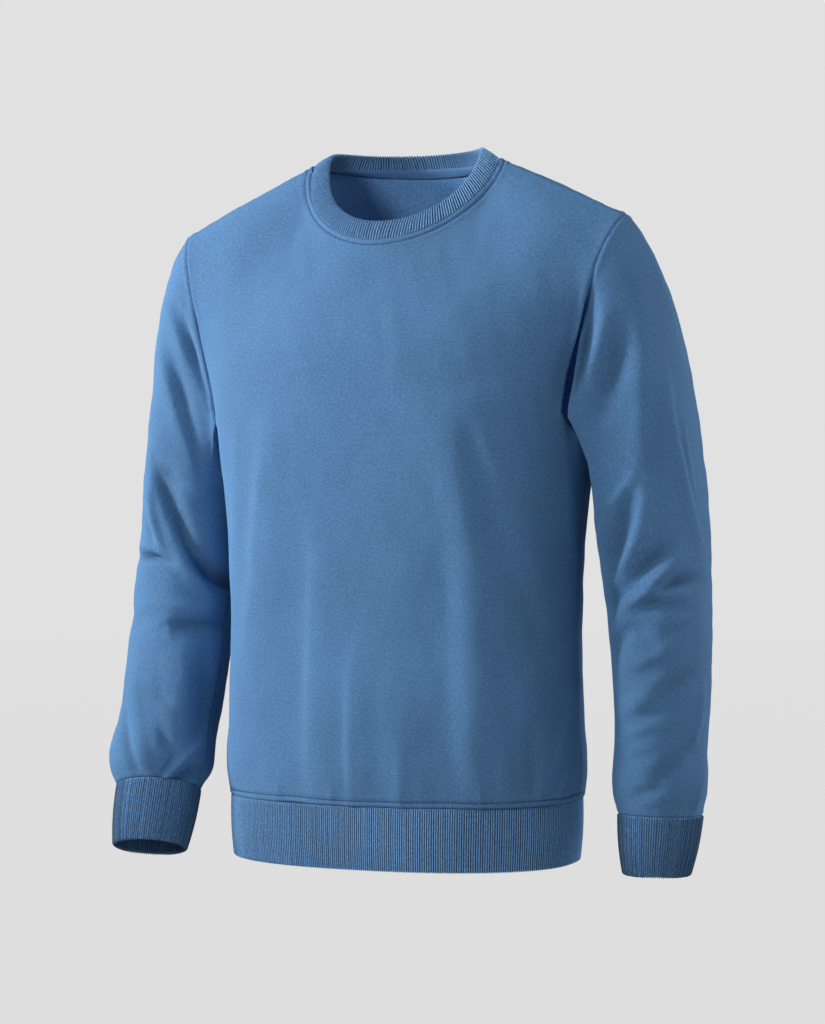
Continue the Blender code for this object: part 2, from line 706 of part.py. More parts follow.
def tape_mesh(sheet, points, normals):
    """Neck tape: a strip on the inside of the back panel, just under the neck seam."""
    index = sheet["index"]
    top = len(BODY_ROWS) - 1 + CHEST_ROWS
    columns = list(range(-NECK_COLUMNS, NECK_COLUMNS + 1))
    strip = []
    directions = []
    faces = []
    for column in columns:
        a = index[(top, column)]
        b = index[(top - 1, column)]
        seam = points[a] - normals[a] * FLEECE_WALL
        below = points[b] - normals[b] * FLEECE_WALL
        length = np.linalg.norm(below - seam)
        for depth in (TAPE_SETBACK, TAPE_SETBACK + TAPE_WIDTH):
            share = depth / length
            normal = unit(normals[a] * (1 - share) + normals[b] * share)
            strip.append(seam * (1 - share) + below * share - normal * TAPE_GAP)
            directions.append(normal)
    for k in range(len(columns) - 1):
        faces.append([2 * k, 2 * k + 1, 2 * k + 3, 2 * k + 2])
    places = [key(point) for point in strip]
    return wall_mesh(np.array(strip), np.array(directions), faces, TAPE_WALL, places)


def build():
    """Clear the scene and make every piece of the sweatshirt."""
    for old in list(bpy.data.objects):
        bpy.data.objects.remove(old, do_unlink=True)
    sheets = {
        "front_panel": panel_sheet("front"),
        "back_panel": panel_sheet("back"),
        "sleeve_right": sleeve_sheet("right"),
        "sleeve_left": sleeve_sheet("left"),
        "neckband": neckband_sheet(),
        "hem_band": hem_sheet(),
        "cuff_right": cuff_sheet("right"),
        "cuff_left": cuff_sheet("left"),
    }
    groups = {
        "sleeve_right": "right",
        "sleeve_left": "left",
        "cuff_right": "right",
        "cuff_left": "left",
    }
    normals = shared_normals(sheets)
    folded = {}
    for name, sheet in sheets.items():
        points = np.array(sheet["points"])
        directions = np.array([normals[key(point)] for point in points])
        depth = fold_depth(FOLDS[groups.get(name, "body")], points, directions)
        moved = points + directions * depth[:, None]
        for point, after in zip(points, moved):
            folded.setdefault(key(point), after)
    for sheet in sheets.values():
        sheet["points"] = [folded[key(point)] for point in sheet["points"]]
    normals = shared_normals(sheets)
    parent = bpy.data.objects.new("sweatshirt", None)
    bpy.context.scene.collection.objects.link(parent)
    ribs = {
        "neckband": NECK_RIBS,
        "hem_band": HEM_RIBS,
        "cuff_right": CUFF_RIBS,
        "cuff_left": CUFF_RIBS,
    }
    for name, sheet in sheets.items():
        points = np.array(sheet["points"])
        places = [key(point) for point in points]
        directions = np.array([normals[place] for place in places])
        points = drawn_back(points, directions, sheet["faces"], SEAM_GAP / 2)
        if name in ribs:
            made = ribbed_mesh(sheet, points, directions, RIB_WALL, ribs[name], RIB_RELIEF)
            add_object(name, *made, RIB, parent)
        else:
            made = wall_mesh(points, directions, sheet["faces"], FLEECE_WALL, places)
            add_object(name, *made, FLEECE, parent)
        if name == "back_panel":
            add_object("neck_tape", *tape_mesh(sheet, points, directions), RIB, parent)


build()
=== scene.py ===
import math

import bpy
import numpy as np
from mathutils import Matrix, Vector


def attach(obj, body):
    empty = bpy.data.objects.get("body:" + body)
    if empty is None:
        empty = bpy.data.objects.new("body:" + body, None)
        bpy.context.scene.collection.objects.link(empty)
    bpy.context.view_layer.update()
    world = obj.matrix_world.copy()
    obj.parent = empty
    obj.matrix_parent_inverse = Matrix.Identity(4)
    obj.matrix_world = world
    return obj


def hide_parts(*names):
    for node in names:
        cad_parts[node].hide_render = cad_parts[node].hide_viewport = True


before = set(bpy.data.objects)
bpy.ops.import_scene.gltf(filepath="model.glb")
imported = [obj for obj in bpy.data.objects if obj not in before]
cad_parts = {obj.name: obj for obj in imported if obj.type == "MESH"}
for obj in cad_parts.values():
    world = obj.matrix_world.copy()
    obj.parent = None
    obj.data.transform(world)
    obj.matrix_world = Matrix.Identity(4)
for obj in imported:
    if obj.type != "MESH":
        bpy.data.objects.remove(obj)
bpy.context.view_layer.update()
ROOT = "root"

# ================================================================ front panel
# The front is one piece of brushed-back cotton fleece, knitted plain and dyed one blue. It is
# overlocked to the back along the shoulders and sides, with the seam allowances inside, and
# one row of stitches holds them flat along the neck and above the hem.

# Where it is sewn to its neighbours: the same seam lines as the solids, in metres.
OVAL_COLUMNS = ("half_width", "reach", "side", "middle", "power_x", "power_y", "power_z")
NECK_SEAM = {
    "front": (0.1002, 0.0660, 0.0012, -0.0824, 1.10, 1.10, 1.00),
    "back": (0.1002, 0.0620, 0.0012, 0.0023, 1.10, 1.40, 1.00),
}
NECK_TILT = -0.0300
SHOULDER_TIP = (0.2340, -0.0170, -0.0630)
SHOULDER_TILT = -0.0120
SHOULDER_CROWN = 0.0005
SLOPE_COLUMNS = ("place", "x", "y", "z")
TOP_SLOPES = {
    "front": (
        (0.0000, 0.00, 0.35, 0.94),
        (0.5000, 0.00, 0.57, 0.82),
        (0.6500, 0.05, 0.80, 0.60),
        (0.8125, 0.25, 0.82, 0.50),
    ),
    "back": (
        (0.0000, 0.00, -0.40, 0.90),
        (0.5000, 0.00, -0.95, -0.10),
        (0.6500, 0.00, -0.97, -0.20),
        (0.8125, 0.10, -0.95, -0.20),
    ),
}
HEM_SEAM = -0.6180
HEM_TILT = 0.020
HEM_TILT_TOP = -0.3500
HEM_TILT_SPAN = 0.2500
UNDERARM = -0.2800
CHEST_LINE_RISE = 0.0900
CHEST_LINE_EASE = 2.0
BODY_SQUARENESS = 2.35
BODY_COLUMNS = ("height", "half_width", "front", "back")
BODY_SECTIONS = (
    (-0.640, 0.1790, 0.1050, 0.1000),
    (-0.618, 0.1800, 0.1060, 0.1010),
    (-0.598, 0.1830, 0.1095, 0.1030),
    (-0.540, 0.1810, 0.1085, 0.1000),
    (-0.450, 0.1795, 0.1070, 0.0950),
    (-0.380, 0.1815, 0.1090, 0.1000),
    (-0.310, 0.1885, 0.1120, 0.1100),
    (-0.250, 0.1970, 0.1120, 0.1170),
    (-0.190, 0.2060, 0.1080, 0.1170),
)
NECK_SHARE = 0.5000
ARM_SHARE = 0.8125
TANGENT_STEP = 0.0040
SIDE_TURN = {"front": -1.0, "back": 1.0}


def table(names, rows):
    """Turn a table into one array for each named column."""
    return dict(zip(names, np.array(rows, float).T))


def unit(vectors):
    """Scale each vector to length one."""
    return vectors / np.maximum(np.linalg.norm(vectors, axis=-1, keepdims=True), 1e-12)


def ease(value):
    """Smooth step from 0 to 1."""
    value = np.clip(value, 0.0, 1.0)
    return value * value * (3.0 - 2.0 * value)


def smooth(knots, values, at):
    """Read a smooth curve through the given knots at one or many places."""
    knots, values, at = (np.asarray(a, float) for a in (knots, values, at))
    slopes = np.gradient(values, knots)
    left = np.clip(np.searchsorted(knots, at, side="right") - 1, 0, len(knots) - 2)
    span = knots[left + 1] - knots[left]
    t = np.clip((at - knots[left]) / span, 0.0, 1.0)
    start = (2 * t ** 3 - 3 * t ** 2 + 1) * values[left]
    start += (t ** 3 - 2 * t ** 2 + t) * span * slopes[left]
    finish = (3 * t ** 2 - 2 * t ** 3) * values[left + 1]
    finish += (t ** 3 - t ** 2) * span * slopes[left + 1]
    return start + finish


def sweep(start, leave, end, arrive, t):
    """Cubic from start to end that leaves and arrives along the given vectors."""
    t = np.asarray(t, float)[..., None]
    point = (2 * t ** 3 - 3 * t ** 2 + 1) * start + (3 * t ** 2 - 2 * t ** 3) * end
    return point + (t ** 3 - 2 * t ** 2 + t) * leave + (t ** 3 - t ** 2) * arrive


BODY = table(BODY_COLUMNS, BODY_SECTIONS)


def turn_of(u):
    """Angle on the body's section whose share of the quarter's length is |u|."""
    angles = np.linspace(0.0, math.pi / 2, 181)
    power = 2.0 / BODY_SQUARENESS
    x = np.mean(BODY["half_width"]) * np.sin(angles) ** power
    y = np.mean(BODY["front"]) * np.cos(angles) ** power
    length = np.concatenate(([0.0], np.cumsum(np.hypot(np.diff(x), np.diff(y)))))
    return np.interp(np.abs(u), length / length[-1], angles)


def body_point(panel, u, height):
    """Body's section: u is 0 at the centre and 1 or -1 at the side seams."""
    u, height = np.broadcast_arrays(np.asarray(u, float), np.asarray(height, float))
    width = smooth(BODY["height"], BODY["half_width"], height)
    depth = smooth(BODY["height"], BODY[panel], height)
    angle = turn_of(u)
    power = 2.0 / BODY_SQUARENESS
    x = np.sign(u) * width * np.sin(angle) ** power
    y = SIDE_TURN[panel] * depth * np.clip(np.cos(angle), 0.0, 1.0) ** power
    fall = ease((HEM_TILT_TOP - height) / HEM_TILT_SPAN)
    return np.stack([x, y, height + HEM_TILT * x * fall], axis=-1)


def chest_line(u):
    """Height at which the chest starts: it meets the armhole under the arm."""
    share = (1.0 - np.abs(u)) / (1.0 - ARM_SHARE)
    return UNDERARM + CHEST_LINE_RISE * share ** 2 / (share ** 2 + CHEST_LINE_EASE)


def oval_point(sizes, panel, q):
    """Neck oval: q is 0 at the middle and 1 or -1 at the high points of the shoulders."""
    oval = dict(zip(OVAL_COLUMNS, sizes[panel]))
    angle = np.abs(q) * math.pi / 2
    share = np.clip(np.cos(angle), 0.0, 1.0)
    x = np.sign(q) * oval["half_width"] * np.sin(angle) ** oval["power_x"]
    y = SIDE_TURN[panel] * oval["reach"] * share ** oval["power_y"]
    z = oval["side"] + (oval["middle"] - oval["side"]) * share ** oval["power_z"]
    return np.stack([x, y, z + NECK_TILT * x], axis=-1)


def top_point(panel, u):
    """Top edge of a panel: the neck seam in the middle, then the shoulder seams."""
    u = np.asarray(u, float)
    neck = oval_point(NECK_SEAM, panel, np.clip(u / NECK_SHARE, -1.0, 1.0))
    along = (np.abs(u) - NECK_SHARE) / (ARM_SHARE - NECK_SHARE)
    along = np.clip(along, 0.0, 1.0)[..., None]
    tip = np.array(SHOULDER_TIP) * np.ones_like(neck)
    tip[..., 0] *= np.sign(u)
    tip[..., 2] += SHOULDER_TILT * tip[..., 0]
    seam = neck + along * (tip - neck)
    seam[..., 2] += SHOULDER_CROWN * np.sin(math.pi * along[..., 0])
    return np.where(np.abs(u)[..., None] <= NECK_SHARE, neck, seam)


def chest_point(panel, u, v):
    """Chest or upper back: v is 0 at the chest line and 1 at the top."""
    u, v = np.broadcast_arrays(np.asarray(u, float), np.asarray(v, float))
    line = chest_line(u)
    start = body_point(panel, u, line)
    below = body_point(panel, u, line - TANGENT_STEP)
    end = top_point(panel, u)
    reach = np.linalg.norm(end - start, axis=-1, keepdims=True)
    slopes = table(SLOPE_COLUMNS, TOP_SLOPES[panel])
    slope = [smooth(slopes["place"], slopes[name], np.abs(u)) for name in "xyz"]
    slope = np.stack(slope, axis=-1)
    slope[..., 0] *= np.sign(u)
    return sweep(start, unit(start - below) * reach, end, unit(slope) * reach, v)


def spaced(stops, counts, tight):
    """Places from the first stop to the last, closer together near the tight ones.

    tight gives, for a place, how much closer and over what distance.
    """
    made = [stops[0]]
    for low, high, count in zip(stops[:-1], stops[1:], counts):
        fine = np.linspace(low, high, 2001)
        density = np.ones_like(fine)
        for place, (closer, reach) in tight.items():
            density += (closer - 1.0) * np.exp(-np.abs(fine - place) / reach)
        total = np.concatenate(([0.0], np.cumsum((density[1:] + density[:-1]) / 2)))
        made.extend(np.interp(np.arange(1, count + 1) / count, total / total[-1], fine))
    return np.array(made)


def net_faces(index, closed=False):
    """Four-sided faces of a net, given the number of the point at each row and column."""
    if closed:
        index = np.concatenate([index, index[:, :1]], axis=1)
    corners = (index[:-1, :-1], index[:-1, 1:], index[1:, 1:], index[1:, :-1])
    return np.stack(corners, axis=-1).reshape(-1, 4)


def point_normals(points, faces):
    """Outward direction at each point, from the faces that meet there."""
    a, b, c, d = (points[faces[:, k]] for k in range(4))
    across = np.cross(c - a, d - b)
    total = np.zeros_like(points)
    for k in range(4):
        np.add.at(total, faces[:, k], across)
    return unit(total)


def relaxed(points, faces, share, rounds):
    """Points eased along their normals towards their neighbours, each by its own share."""
    ends = np.stack([faces, np.roll(faces, -1, axis=1)], axis=-1).reshape(-1, 2)
    ends = np.concatenate([ends, ends[:, ::-1]])
    count = np.bincount(ends[:, 0], minlength=len(points))
    for _ in range(rounds):
        total = [np.bincount(ends[:, 0], points[ends[:, 1], k], len(points)) for k in range(3)]
        pull = np.stack(total, axis=-1) / count[:, None] - points
        normals = point_normals(points, faces)
        points = points + normals * (share * np.sum(pull * normals, axis=1))[:, None]
    return points


def gap_to(points, line):
    """Distance from each point to a line of joined points, and how far along it that is."""
    best = np.full(len(points), np.inf)
    where = np.zeros(len(points))
    run = 0.0
    for a, b in zip(line[:-1], line[1:]):
        step = b - a
        length = float(np.linalg.norm(step))
        if length > 1e-9:
            share = np.clip((points - a) @ step / length ** 2, 0.0, 1.0)
            gap = np.linalg.norm(points - a - share[:, None] * step, axis=1)
            closer = gap < best
            best[closer] = gap[closer]
            where[closer] = run + share[closer] * length
        run += length
    return best, where


# A sewn seam sinks between two soft lips. A stitched edge has a plump strip beside the seam,
# the sunk stitch row, and a lower lip beyond it.
SEAM_DEPTH = 0.0007
SEAM_WIDTH = 0.0009
LIP_HEIGHT = 0.0004
LIP_AT = 0.0036
LIP_WIDTH = 0.0022
STRIP_HEIGHT = 1.3 * LIP_HEIGHT
STRIP_WIDTH = 0.0021
STITCH_AT = 0.0060
STITCH_DEPTH = 0.0005
STITCH_WIDTH = 0.0008
STITCH_PITCH = 0.0030
STITCH_RISE = 0.0002
PUCKER_HEIGHT = 0.00022
PUCKER_LENGTH = 0.0085
PUCKER_DRIFT = 0.019
PUCKER_REACH = 0.0070
SWELL_WAVES = 20


def bell(gap, width, power=2):
    """Share that is 1 at no distance and about a third at the width."""
    return np.exp(-((gap / width) ** power))


def pucker(gap, along):
    """Small waves that sewing draws up along a seam, dying away beside it."""
    wave = np.sin(2 * math.pi * along / PUCKER_LENGTH + 2.0 * np.sin(along / PUCKER_DRIFT))
    return PUCKER_HEIGHT * wave * np.exp(-gap / PUCKER_REACH)


def seam_relief(gap, along, lip_height=LIP_HEIGHT):
    """Height of the cloth beside a plain seam, where the allowances lift it by a lip."""
    sunk_and_painted_shade = -SEAM_DEPTH * bell(gap, SEAM_WIDTH)
    lip = lip_height * bell(gap - LIP_AT, LIP_WIDTH)
    return sunk_and_painted_shade + lip + pucker(gap, along)


def stitched_relief(gap, along):
    """Height of the cloth beside a seam that has a row of stitches along it."""
    strip = STRIP_HEIGHT * bell(gap - STITCH_AT / 2, STRIP_WIDTH, 4)
    row = -STITCH_DEPTH * bell(gap - STITCH_AT, STITCH_WIDTH)
    lip = LIP_HEIGHT * bell(gap - STITCH_AT - LIP_AT, LIP_WIDTH)
    sunk_and_painted_shade = -SEAM_DEPTH * bell(gap, SEAM_WIDTH)
    return sunk_and_painted_shade + strip + row + lip + pucker(gap, along)


def unevenness(points, size, seed):
    """Soft random swell and dip of the cloth, about size across."""
    draw = np.random.default_rng(seed)
    waves = unit(draw.normal(size=(SWELL_WAVES, 3))) * draw.uniform(0.6, 1.5, (SWELL_WAVES, 1))
    phases = draw.uniform(0.0, 2 * math.pi, SWELL_WAVES)
    total = np.sin(points @ waves.T * (2 * math.pi / size) + phases)
    return total.sum(axis=1) / math.sqrt(SWELL_WAVES / 2) / 2


def swells(points, kinds, seed):
    """Unevenness of several kinds together, each given by its height and its size."""
    return sum(height * unevenness(points, size, seed + k) for k, (height, size) in enumerate(kinds))


# Each row is a soft trough (depth below zero) or ridge, seen level from one side: azimuth is
# that side, 0 for the front and 90 for the wearer's left. Across and height give its start,
# middle and end there, and the last two columns how wide it falls away on either hand.
FOLD_COLUMNS = ("azimuth", "across_1", "height_1", "across_2", "height_2",
                "across_3", "height_3", "depth", "left", "right")
FOLD_STEPS = 15
FOLD_FACING = 0.35
FOLD_REACH = 3.0
FOLD_START = 0.06
FOLD_RUN = 0.88
CORNER_SPREAD = 0.07
CORNER_EASE = 0.6
CORNER_ROUNDS = 80
CORNER_COLUMNS = 3
CORNER_SPLIT = 7


def fold_relief(rows, points, normals):
    """Height that a group of folds gives each point."""
    total = np.zeros(len(points))
    for row in rows:
        fold = dict(zip(FOLD_COLUMNS, row))
        azimuth = math.radians(fold["azimuth"])
        across = points[:, 0] * math.cos(azimuth) + points[:, 1] * math.sin(azimuth)
        seen = np.stack([across, points[:, 2]], axis=-1)
        facing = normals[:, 0] * math.sin(azimuth) - normals[:, 1] * math.cos(azimuth)
        knots = [np.array([fold["across_%d" % k], fold["height_%d" % k]]) for k in (1, 2, 3)]
        bend = 2.0 * knots[1] - 0.5 * (knots[0] + knots[2])
        t = np.linspace(0.0, 1.0, FOLD_STEPS)[:, None]
        path = (1 - t) ** 2 * knots[0] + 2 * t * (1 - t) * bend + t * t * knots[2]
        reach = FOLD_REACH * max(fold["left"], fold["right"])
        near = np.all((seen > path.min(axis=0) - reach) & (seen < path.max(axis=0) + reach), axis=1)
        near &= facing > 0.0
        if not near.any():
            continue
        here = seen[near]
        best = np.full(len(here), np.inf)
        side = np.zeros(len(here))
        place = np.zeros(len(here))
        for k in range(FOLD_STEPS - 1):
            step = path[k + 1] - path[k]
            away = here - path[k]
            share = np.clip(away @ step / (step @ step), 0.0, 1.0)
            gap = np.linalg.norm(away - share[:, None] * step, axis=1)
            closer = gap < best
            best[closer] = gap[closer]
            side[closer] = (step[0] * away[:, 1] - step[1] * away[:, 0])[closer]
            place[closer] = ((k + share) / (FOLD_STEPS - 1))[closer]
        width = np.where(side > 0.0, fold["left"], fold["right"])
        fade = np.sin(math.pi * (FOLD_START + FOLD_RUN * place))
        height = fold["depth"] * fade * bell(best, width)
        total[near] += height * ease(facing[near] / FOLD_FACING)
    return total


def srgb(code):
    """Linear colour of an sRGB hex value."""
    parts = [int(code[k:k + 2], 16) / 255 for k in (1, 3, 5)]
    linear = [p / 12.92 if p <= 0.04045 else ((p + 0.055) / 1.055) ** 2.4 for p in parts]
    return (*linear, 1.0)


def add_node(tree, kind, sockets=(), **settings):
    """Add a node with its settings; a socket takes a value or another node's output."""
    made = tree.nodes.new(kind)
    for name, value in settings.items():
        setattr(made, name, value)
    for name, value in dict(sockets).items():
        if isinstance(value, bpy.types.NodeSocket):
            tree.links.new(value, made.inputs[name])
        else:
            made.inputs[name].default_value = value
    return made


def new_finish(name):
    """Empty material: its node tree and its shader."""
    finish = bpy.data.materials.new(name)
    finish.use_nodes = True
    tree = finish.node_tree
    tree.nodes.clear()
    shader = add_node(tree, "ShaderNodeBsdfPrincipled")
    output = add_node(tree, "ShaderNodeOutputMaterial")
    tree.links.new(shader.outputs["BSDF"], output.inputs["Surface"])
    return finish, tree, shader


# Streaks run along the courses: they are long across the wales and short from row to row.
STREAK_STRETCH = (0.03, 0.45, 1.0)


def cloth_finish(name, dark, light, wale, course, nap, sheen, mottle, painted_shade_floor):
    """Plain-knitted cotton: fine wales and courses under a short nap, with a faint marl.

    wale and course are the real pitches of the loops, or of a woven tape's threads, and nap is
    the length of the fuzz, all in metres. The ridges, 1.6 to a wale, stand for the two legs of
    each loop, drawn a little coarser than real ones. The nap scatters light at grazing angles
    by its sheen, so the cloth stays matt and pale at its edges. mottle is how far the flecks
    stray from the tone. The points' sunk mark paints light into the tone. Where it is 1, only
    the last argument's share of the tone is left, which is painted shade in seams, creases and
    rib valleys. Where it is below 0, the tone is painted paler as a painted highlight.
    """
    finish, tree, shader = new_finish(name)
    flat = add_node(tree, "ShaderNodeUVMap", uv_map="cloth")
    pitches = {"Vector": flat.outputs["UV"], "Scale": (1 / wale, 1 / course, 1.0)}
    loops = add_node(tree, "ShaderNodeMapping", pitches).outputs["Vector"]
    rows = add_node(tree, "ShaderNodeMapping", {"Vector": loops, "Scale": STREAK_STRETCH})
    place = add_node(tree, "ShaderNodeTexCoord").outputs["Object"]
    noise = {}
    for label, vector, scale, detail, roughness in (
        ("marl", loops, 0.9, 3.0, 0.6),
        ("fleck", loops, 0.42, 2.0, 0.7),
        ("streak", rows.outputs["Vector"], 1.0, 2.0, 0.5),
        ("cloud", place, 9.0, 3.0, 0.55),
        ("fuzz", place, 1 / nap, 4.0, 0.7),
    ):
        grain = {"Vector": vector, "Scale": scale, "Detail": detail, "Roughness": roughness}
        noise[label] = add_node(tree, "ShaderNodeTexNoise", grain).outputs["Fac"]
    marled = add_node(
        tree, "ShaderNodeMapRange", {"Value": noise["marl"], "From Min": 0.3, "From Max": 0.7})
    dyed = {0: marled.outputs["Result"], 6: dark, 7: light}
    tone = add_node(tree, "ShaderNodeMix", dyed, data_type="RGBA").outputs[2]
    # The sunk mark paints shade and highlight into the tone.
    sunk_and_painted_shade = add_node(tree, "ShaderNodeAttribute", attribute_name="sunk_and_painted_shade").outputs["Fac"]
    for value, start, end, first, last in (
        (noise["fleck"], 0.3, 0.7, 1.0 - mottle, 1.0 + mottle),
        (noise["streak"], 0.3, 0.7, 0.975, 1.025),
        (noise["cloud"], 0.3, 0.7, 0.95, 1.04),
        (sunk_and_painted_shade, -1.0, 1.0, 2.0 - painted_shade_floor, painted_shade_floor),
    ):
        change = add_node(tree, "ShaderNodeMapRange", {
            "Value": value, "From Min": start, "From Max": end, "To Min": first, "To Max": last})
        layers = {0: 1.0, 6: tone, 7: change.outputs["Result"]}
        multiply = add_node(tree, "ShaderNodeMix", layers, data_type="RGBA", blend_type="MULTIPLY")
        tone = multiply.outputs[2]
    wales = add_node(tree, "ShaderNodeTexWave", {
        "Vector": loops, "Scale": 0.5, "Distortion": 1.2, "Detail": 1.0, "Detail Scale": 1.5,
    }, bands_direction="X")
    low = add_node(
        tree, "ShaderNodeBump", {"Height": wales.outputs["Fac"], "Strength": 0.25, "Distance": 0.0002})
    high = add_node(tree, "ShaderNodeBump", {
        "Height": noise["fuzz"], "Normal": low.outputs["Normal"], "Strength": 0.55, "Distance": 0.0006})
    tree.links.new(tone, shader.inputs["Base Color"])
    tree.links.new(high.outputs["Normal"], shader.inputs["Normal"])
    for socket, value in (
        ("Roughness", 0.92),
        ("Diffuse Roughness", 0.6),
        ("Specular IOR Level", 0.25),
        ("Sheen Weight", sheen),
        ("Sheen Roughness", 0.45),
        ("Sheen Tint", light),
    ):
        shader.inputs[socket].default_value = value
    return finish


def new_object(name, points, edges, faces):
    """Object in the scene with a plain mesh of its own."""
    mesh = bpy.data.meshes.new(name)
    mesh.from_pydata(points.tolist(), edges, faces)
    made = bpy.data.objects.new(name, mesh)
    bpy.context.scene.collection.objects.link(made)
    return made


def mark_points(mesh, label, values):
    """Give each point of a mesh a number under a label."""
    mark = mesh.attributes.new(label, "FLOAT", "POINT")
    mark.data.foreach_set("value", values.astype(np.float32))


def lay_flat(mesh, places, shapes, wrap):
    """Give each corner its place on the flat cloth, in metres; wrap is the girth of a tube."""
    corners = places[shapes]
    if wrap:
        far = corners[..., 0].max(axis=1, keepdims=True) - corners[..., 0] > wrap / 2
        corners[..., 0] += wrap * far
    layer = mesh.uv_layers.new(name="cloth")
    layer.uv.foreach_set("vector", corners.reshape(-1).astype(np.float32))


def cloth_piece(name, points, normals, faces, flat, sunk_and_painted_shade, wall, finishes, wrap=0.0):
    """Close a net of outer points into a wall of cloth and make it an object.

    flat is each point's place on the cut piece, in metres, and wrap the girth of a tube.
    """
    count = len(points)
    edges = np.stack([faces, np.roll(faces, -1, axis=1)], axis=-1).reshape(-1, 2)
    forth = edges[:, 0] * count + edges[:, 1]
    back = edges[:, 1] * count + edges[:, 0]
    border = edges[~np.isin(forth, back)]
    a, b = border[:, 0], border[:, 1]
    sides = np.stack([b, a, a + count, b + count], axis=-1)
    shapes = np.concatenate([faces, faces[:, ::-1] + count, sides])
    both_sides = np.concatenate([points, points - normals * wall])
    piece = new_object(name, both_sides, [], shapes.tolist())
    mesh = piece.data
    for finish in finishes:
        mesh.materials.append(finish)
    inside = np.zeros(len(shapes), np.int32)
    inside[len(faces):] = len(finishes) - 1
    mesh.polygons.foreach_set("material_index", inside)
    lay_flat(mesh, np.concatenate([flat, flat]), shapes, wrap)
    # The outside carries its painted shade and painted highlight as the sunk mark; the inside has none.
    mark_points(mesh, "sunk_and_painted_shade", np.concatenate([sunk_and_painted_shade, np.zeros(count)]))
    mesh.shade_smooth()
    mesh.set_sharp_from_angle(angle=math.radians(60.0))
    return piece


BODY_ROWS = 104
CHEST_ROWS = 92
PANEL_COLUMNS = (20, 34, 42, 42, 34, 20)
PANEL_SWELLS = ((0.0007, 0.085), (0.0003, 0.030))

# The sunk mark paints light into the cloth's colour: from -1, a painted highlight, to 1, painted shade.
STRIP_PAINTED_HIGHLIGHT = 0.16
STRIP_PAINTED_HIGHLIGHT_WIDTH = 0.0020
STITCHED_SHADE = 0.7
ROW_SHADE = 0.2
PLAIN_SHADE = 0.45


def on_chest(u):
    """Which columns go on above the chest line, between the armholes."""
    return np.abs(u) <= ARM_SHARE + 1e-9


def panel_net(panel, u):
    """Net of a front or back with its columns at u: points, faces, flat places and rows."""
    low_rows = spaced((0.0, 1.0), (BODY_ROWS,), {0.0: (7.0, 0.016), 1.0: (2.0, 0.020)})
    high_rows = spaced((0.0, 1.0), (CHEST_ROWS,), {1.0: (7.0, 0.040)})
    line = chest_line(u)
    heights = HEM_SEAM + (line - HEM_SEAM) * low_rows[:, None]
    low = body_point(panel, u, heights)
    chest = on_chest(u)
    high = chest_point(panel, u[chest], high_rows[1:, None])
    points = np.concatenate([low.reshape(-1, 3), high.reshape(-1, 3)])
    low_index = np.arange(low[..., 0].size).reshape(low.shape[:2])
    high_index = low_index.size + np.arange(high[..., 0].size).reshape(high.shape[:2])
    high_index = np.concatenate([low_index[-1:, chest], high_index])
    faces = np.concatenate([net_faces(low_index), net_faces(high_index)])
    if panel == "back":
        faces = faces[:, ::-1]
    girth = 0.5 * sum(np.linalg.norm(np.diff(low[0], axis=0), axis=1))
    rise = np.concatenate([low[..., 2].reshape(-1), np.zeros(high[..., 0].size)])
    steps = np.linalg.norm(np.diff(np.concatenate([low[-1:, chest], high]), axis=0), axis=-1)
    rise[low_index.size:] = (low[-1:, chest, 2] + np.cumsum(steps, axis=0)).reshape(-1)
    across = np.concatenate([np.tile(u, len(low)), np.tile(u[chest], len(high))]) * girth
    flat = np.stack([across, rise], axis=-1)
    return points, faces, flat, low_index, high_index


def panel_seams(panel):
    """Lines along which a panel is sewn: neck, hem, and the plain seams."""
    neck = top_point(panel, np.linspace(-NECK_SHARE, NECK_SHARE, 121))
    hem = body_point(panel, np.linspace(-1.0, 1.0, 121), HEM_SEAM)
    plain = []
    for side in (-1.0, 1.0):
        plain.append(top_point(panel, side * np.linspace(NECK_SHARE, ARM_SHARE, 25)))
        plain.append(chest_point(panel, side * ARM_SHARE, np.linspace(0.0, 1.0, 61)))
        ledge = side * np.linspace(ARM_SHARE, 1.0, 25)
        plain.append(body_point(panel, ledge, chest_line(ledge)))
        plain.append(body_point(panel, side, np.linspace(HEM_SEAM, UNDERARM, 81)))
    return neck, hem, plain


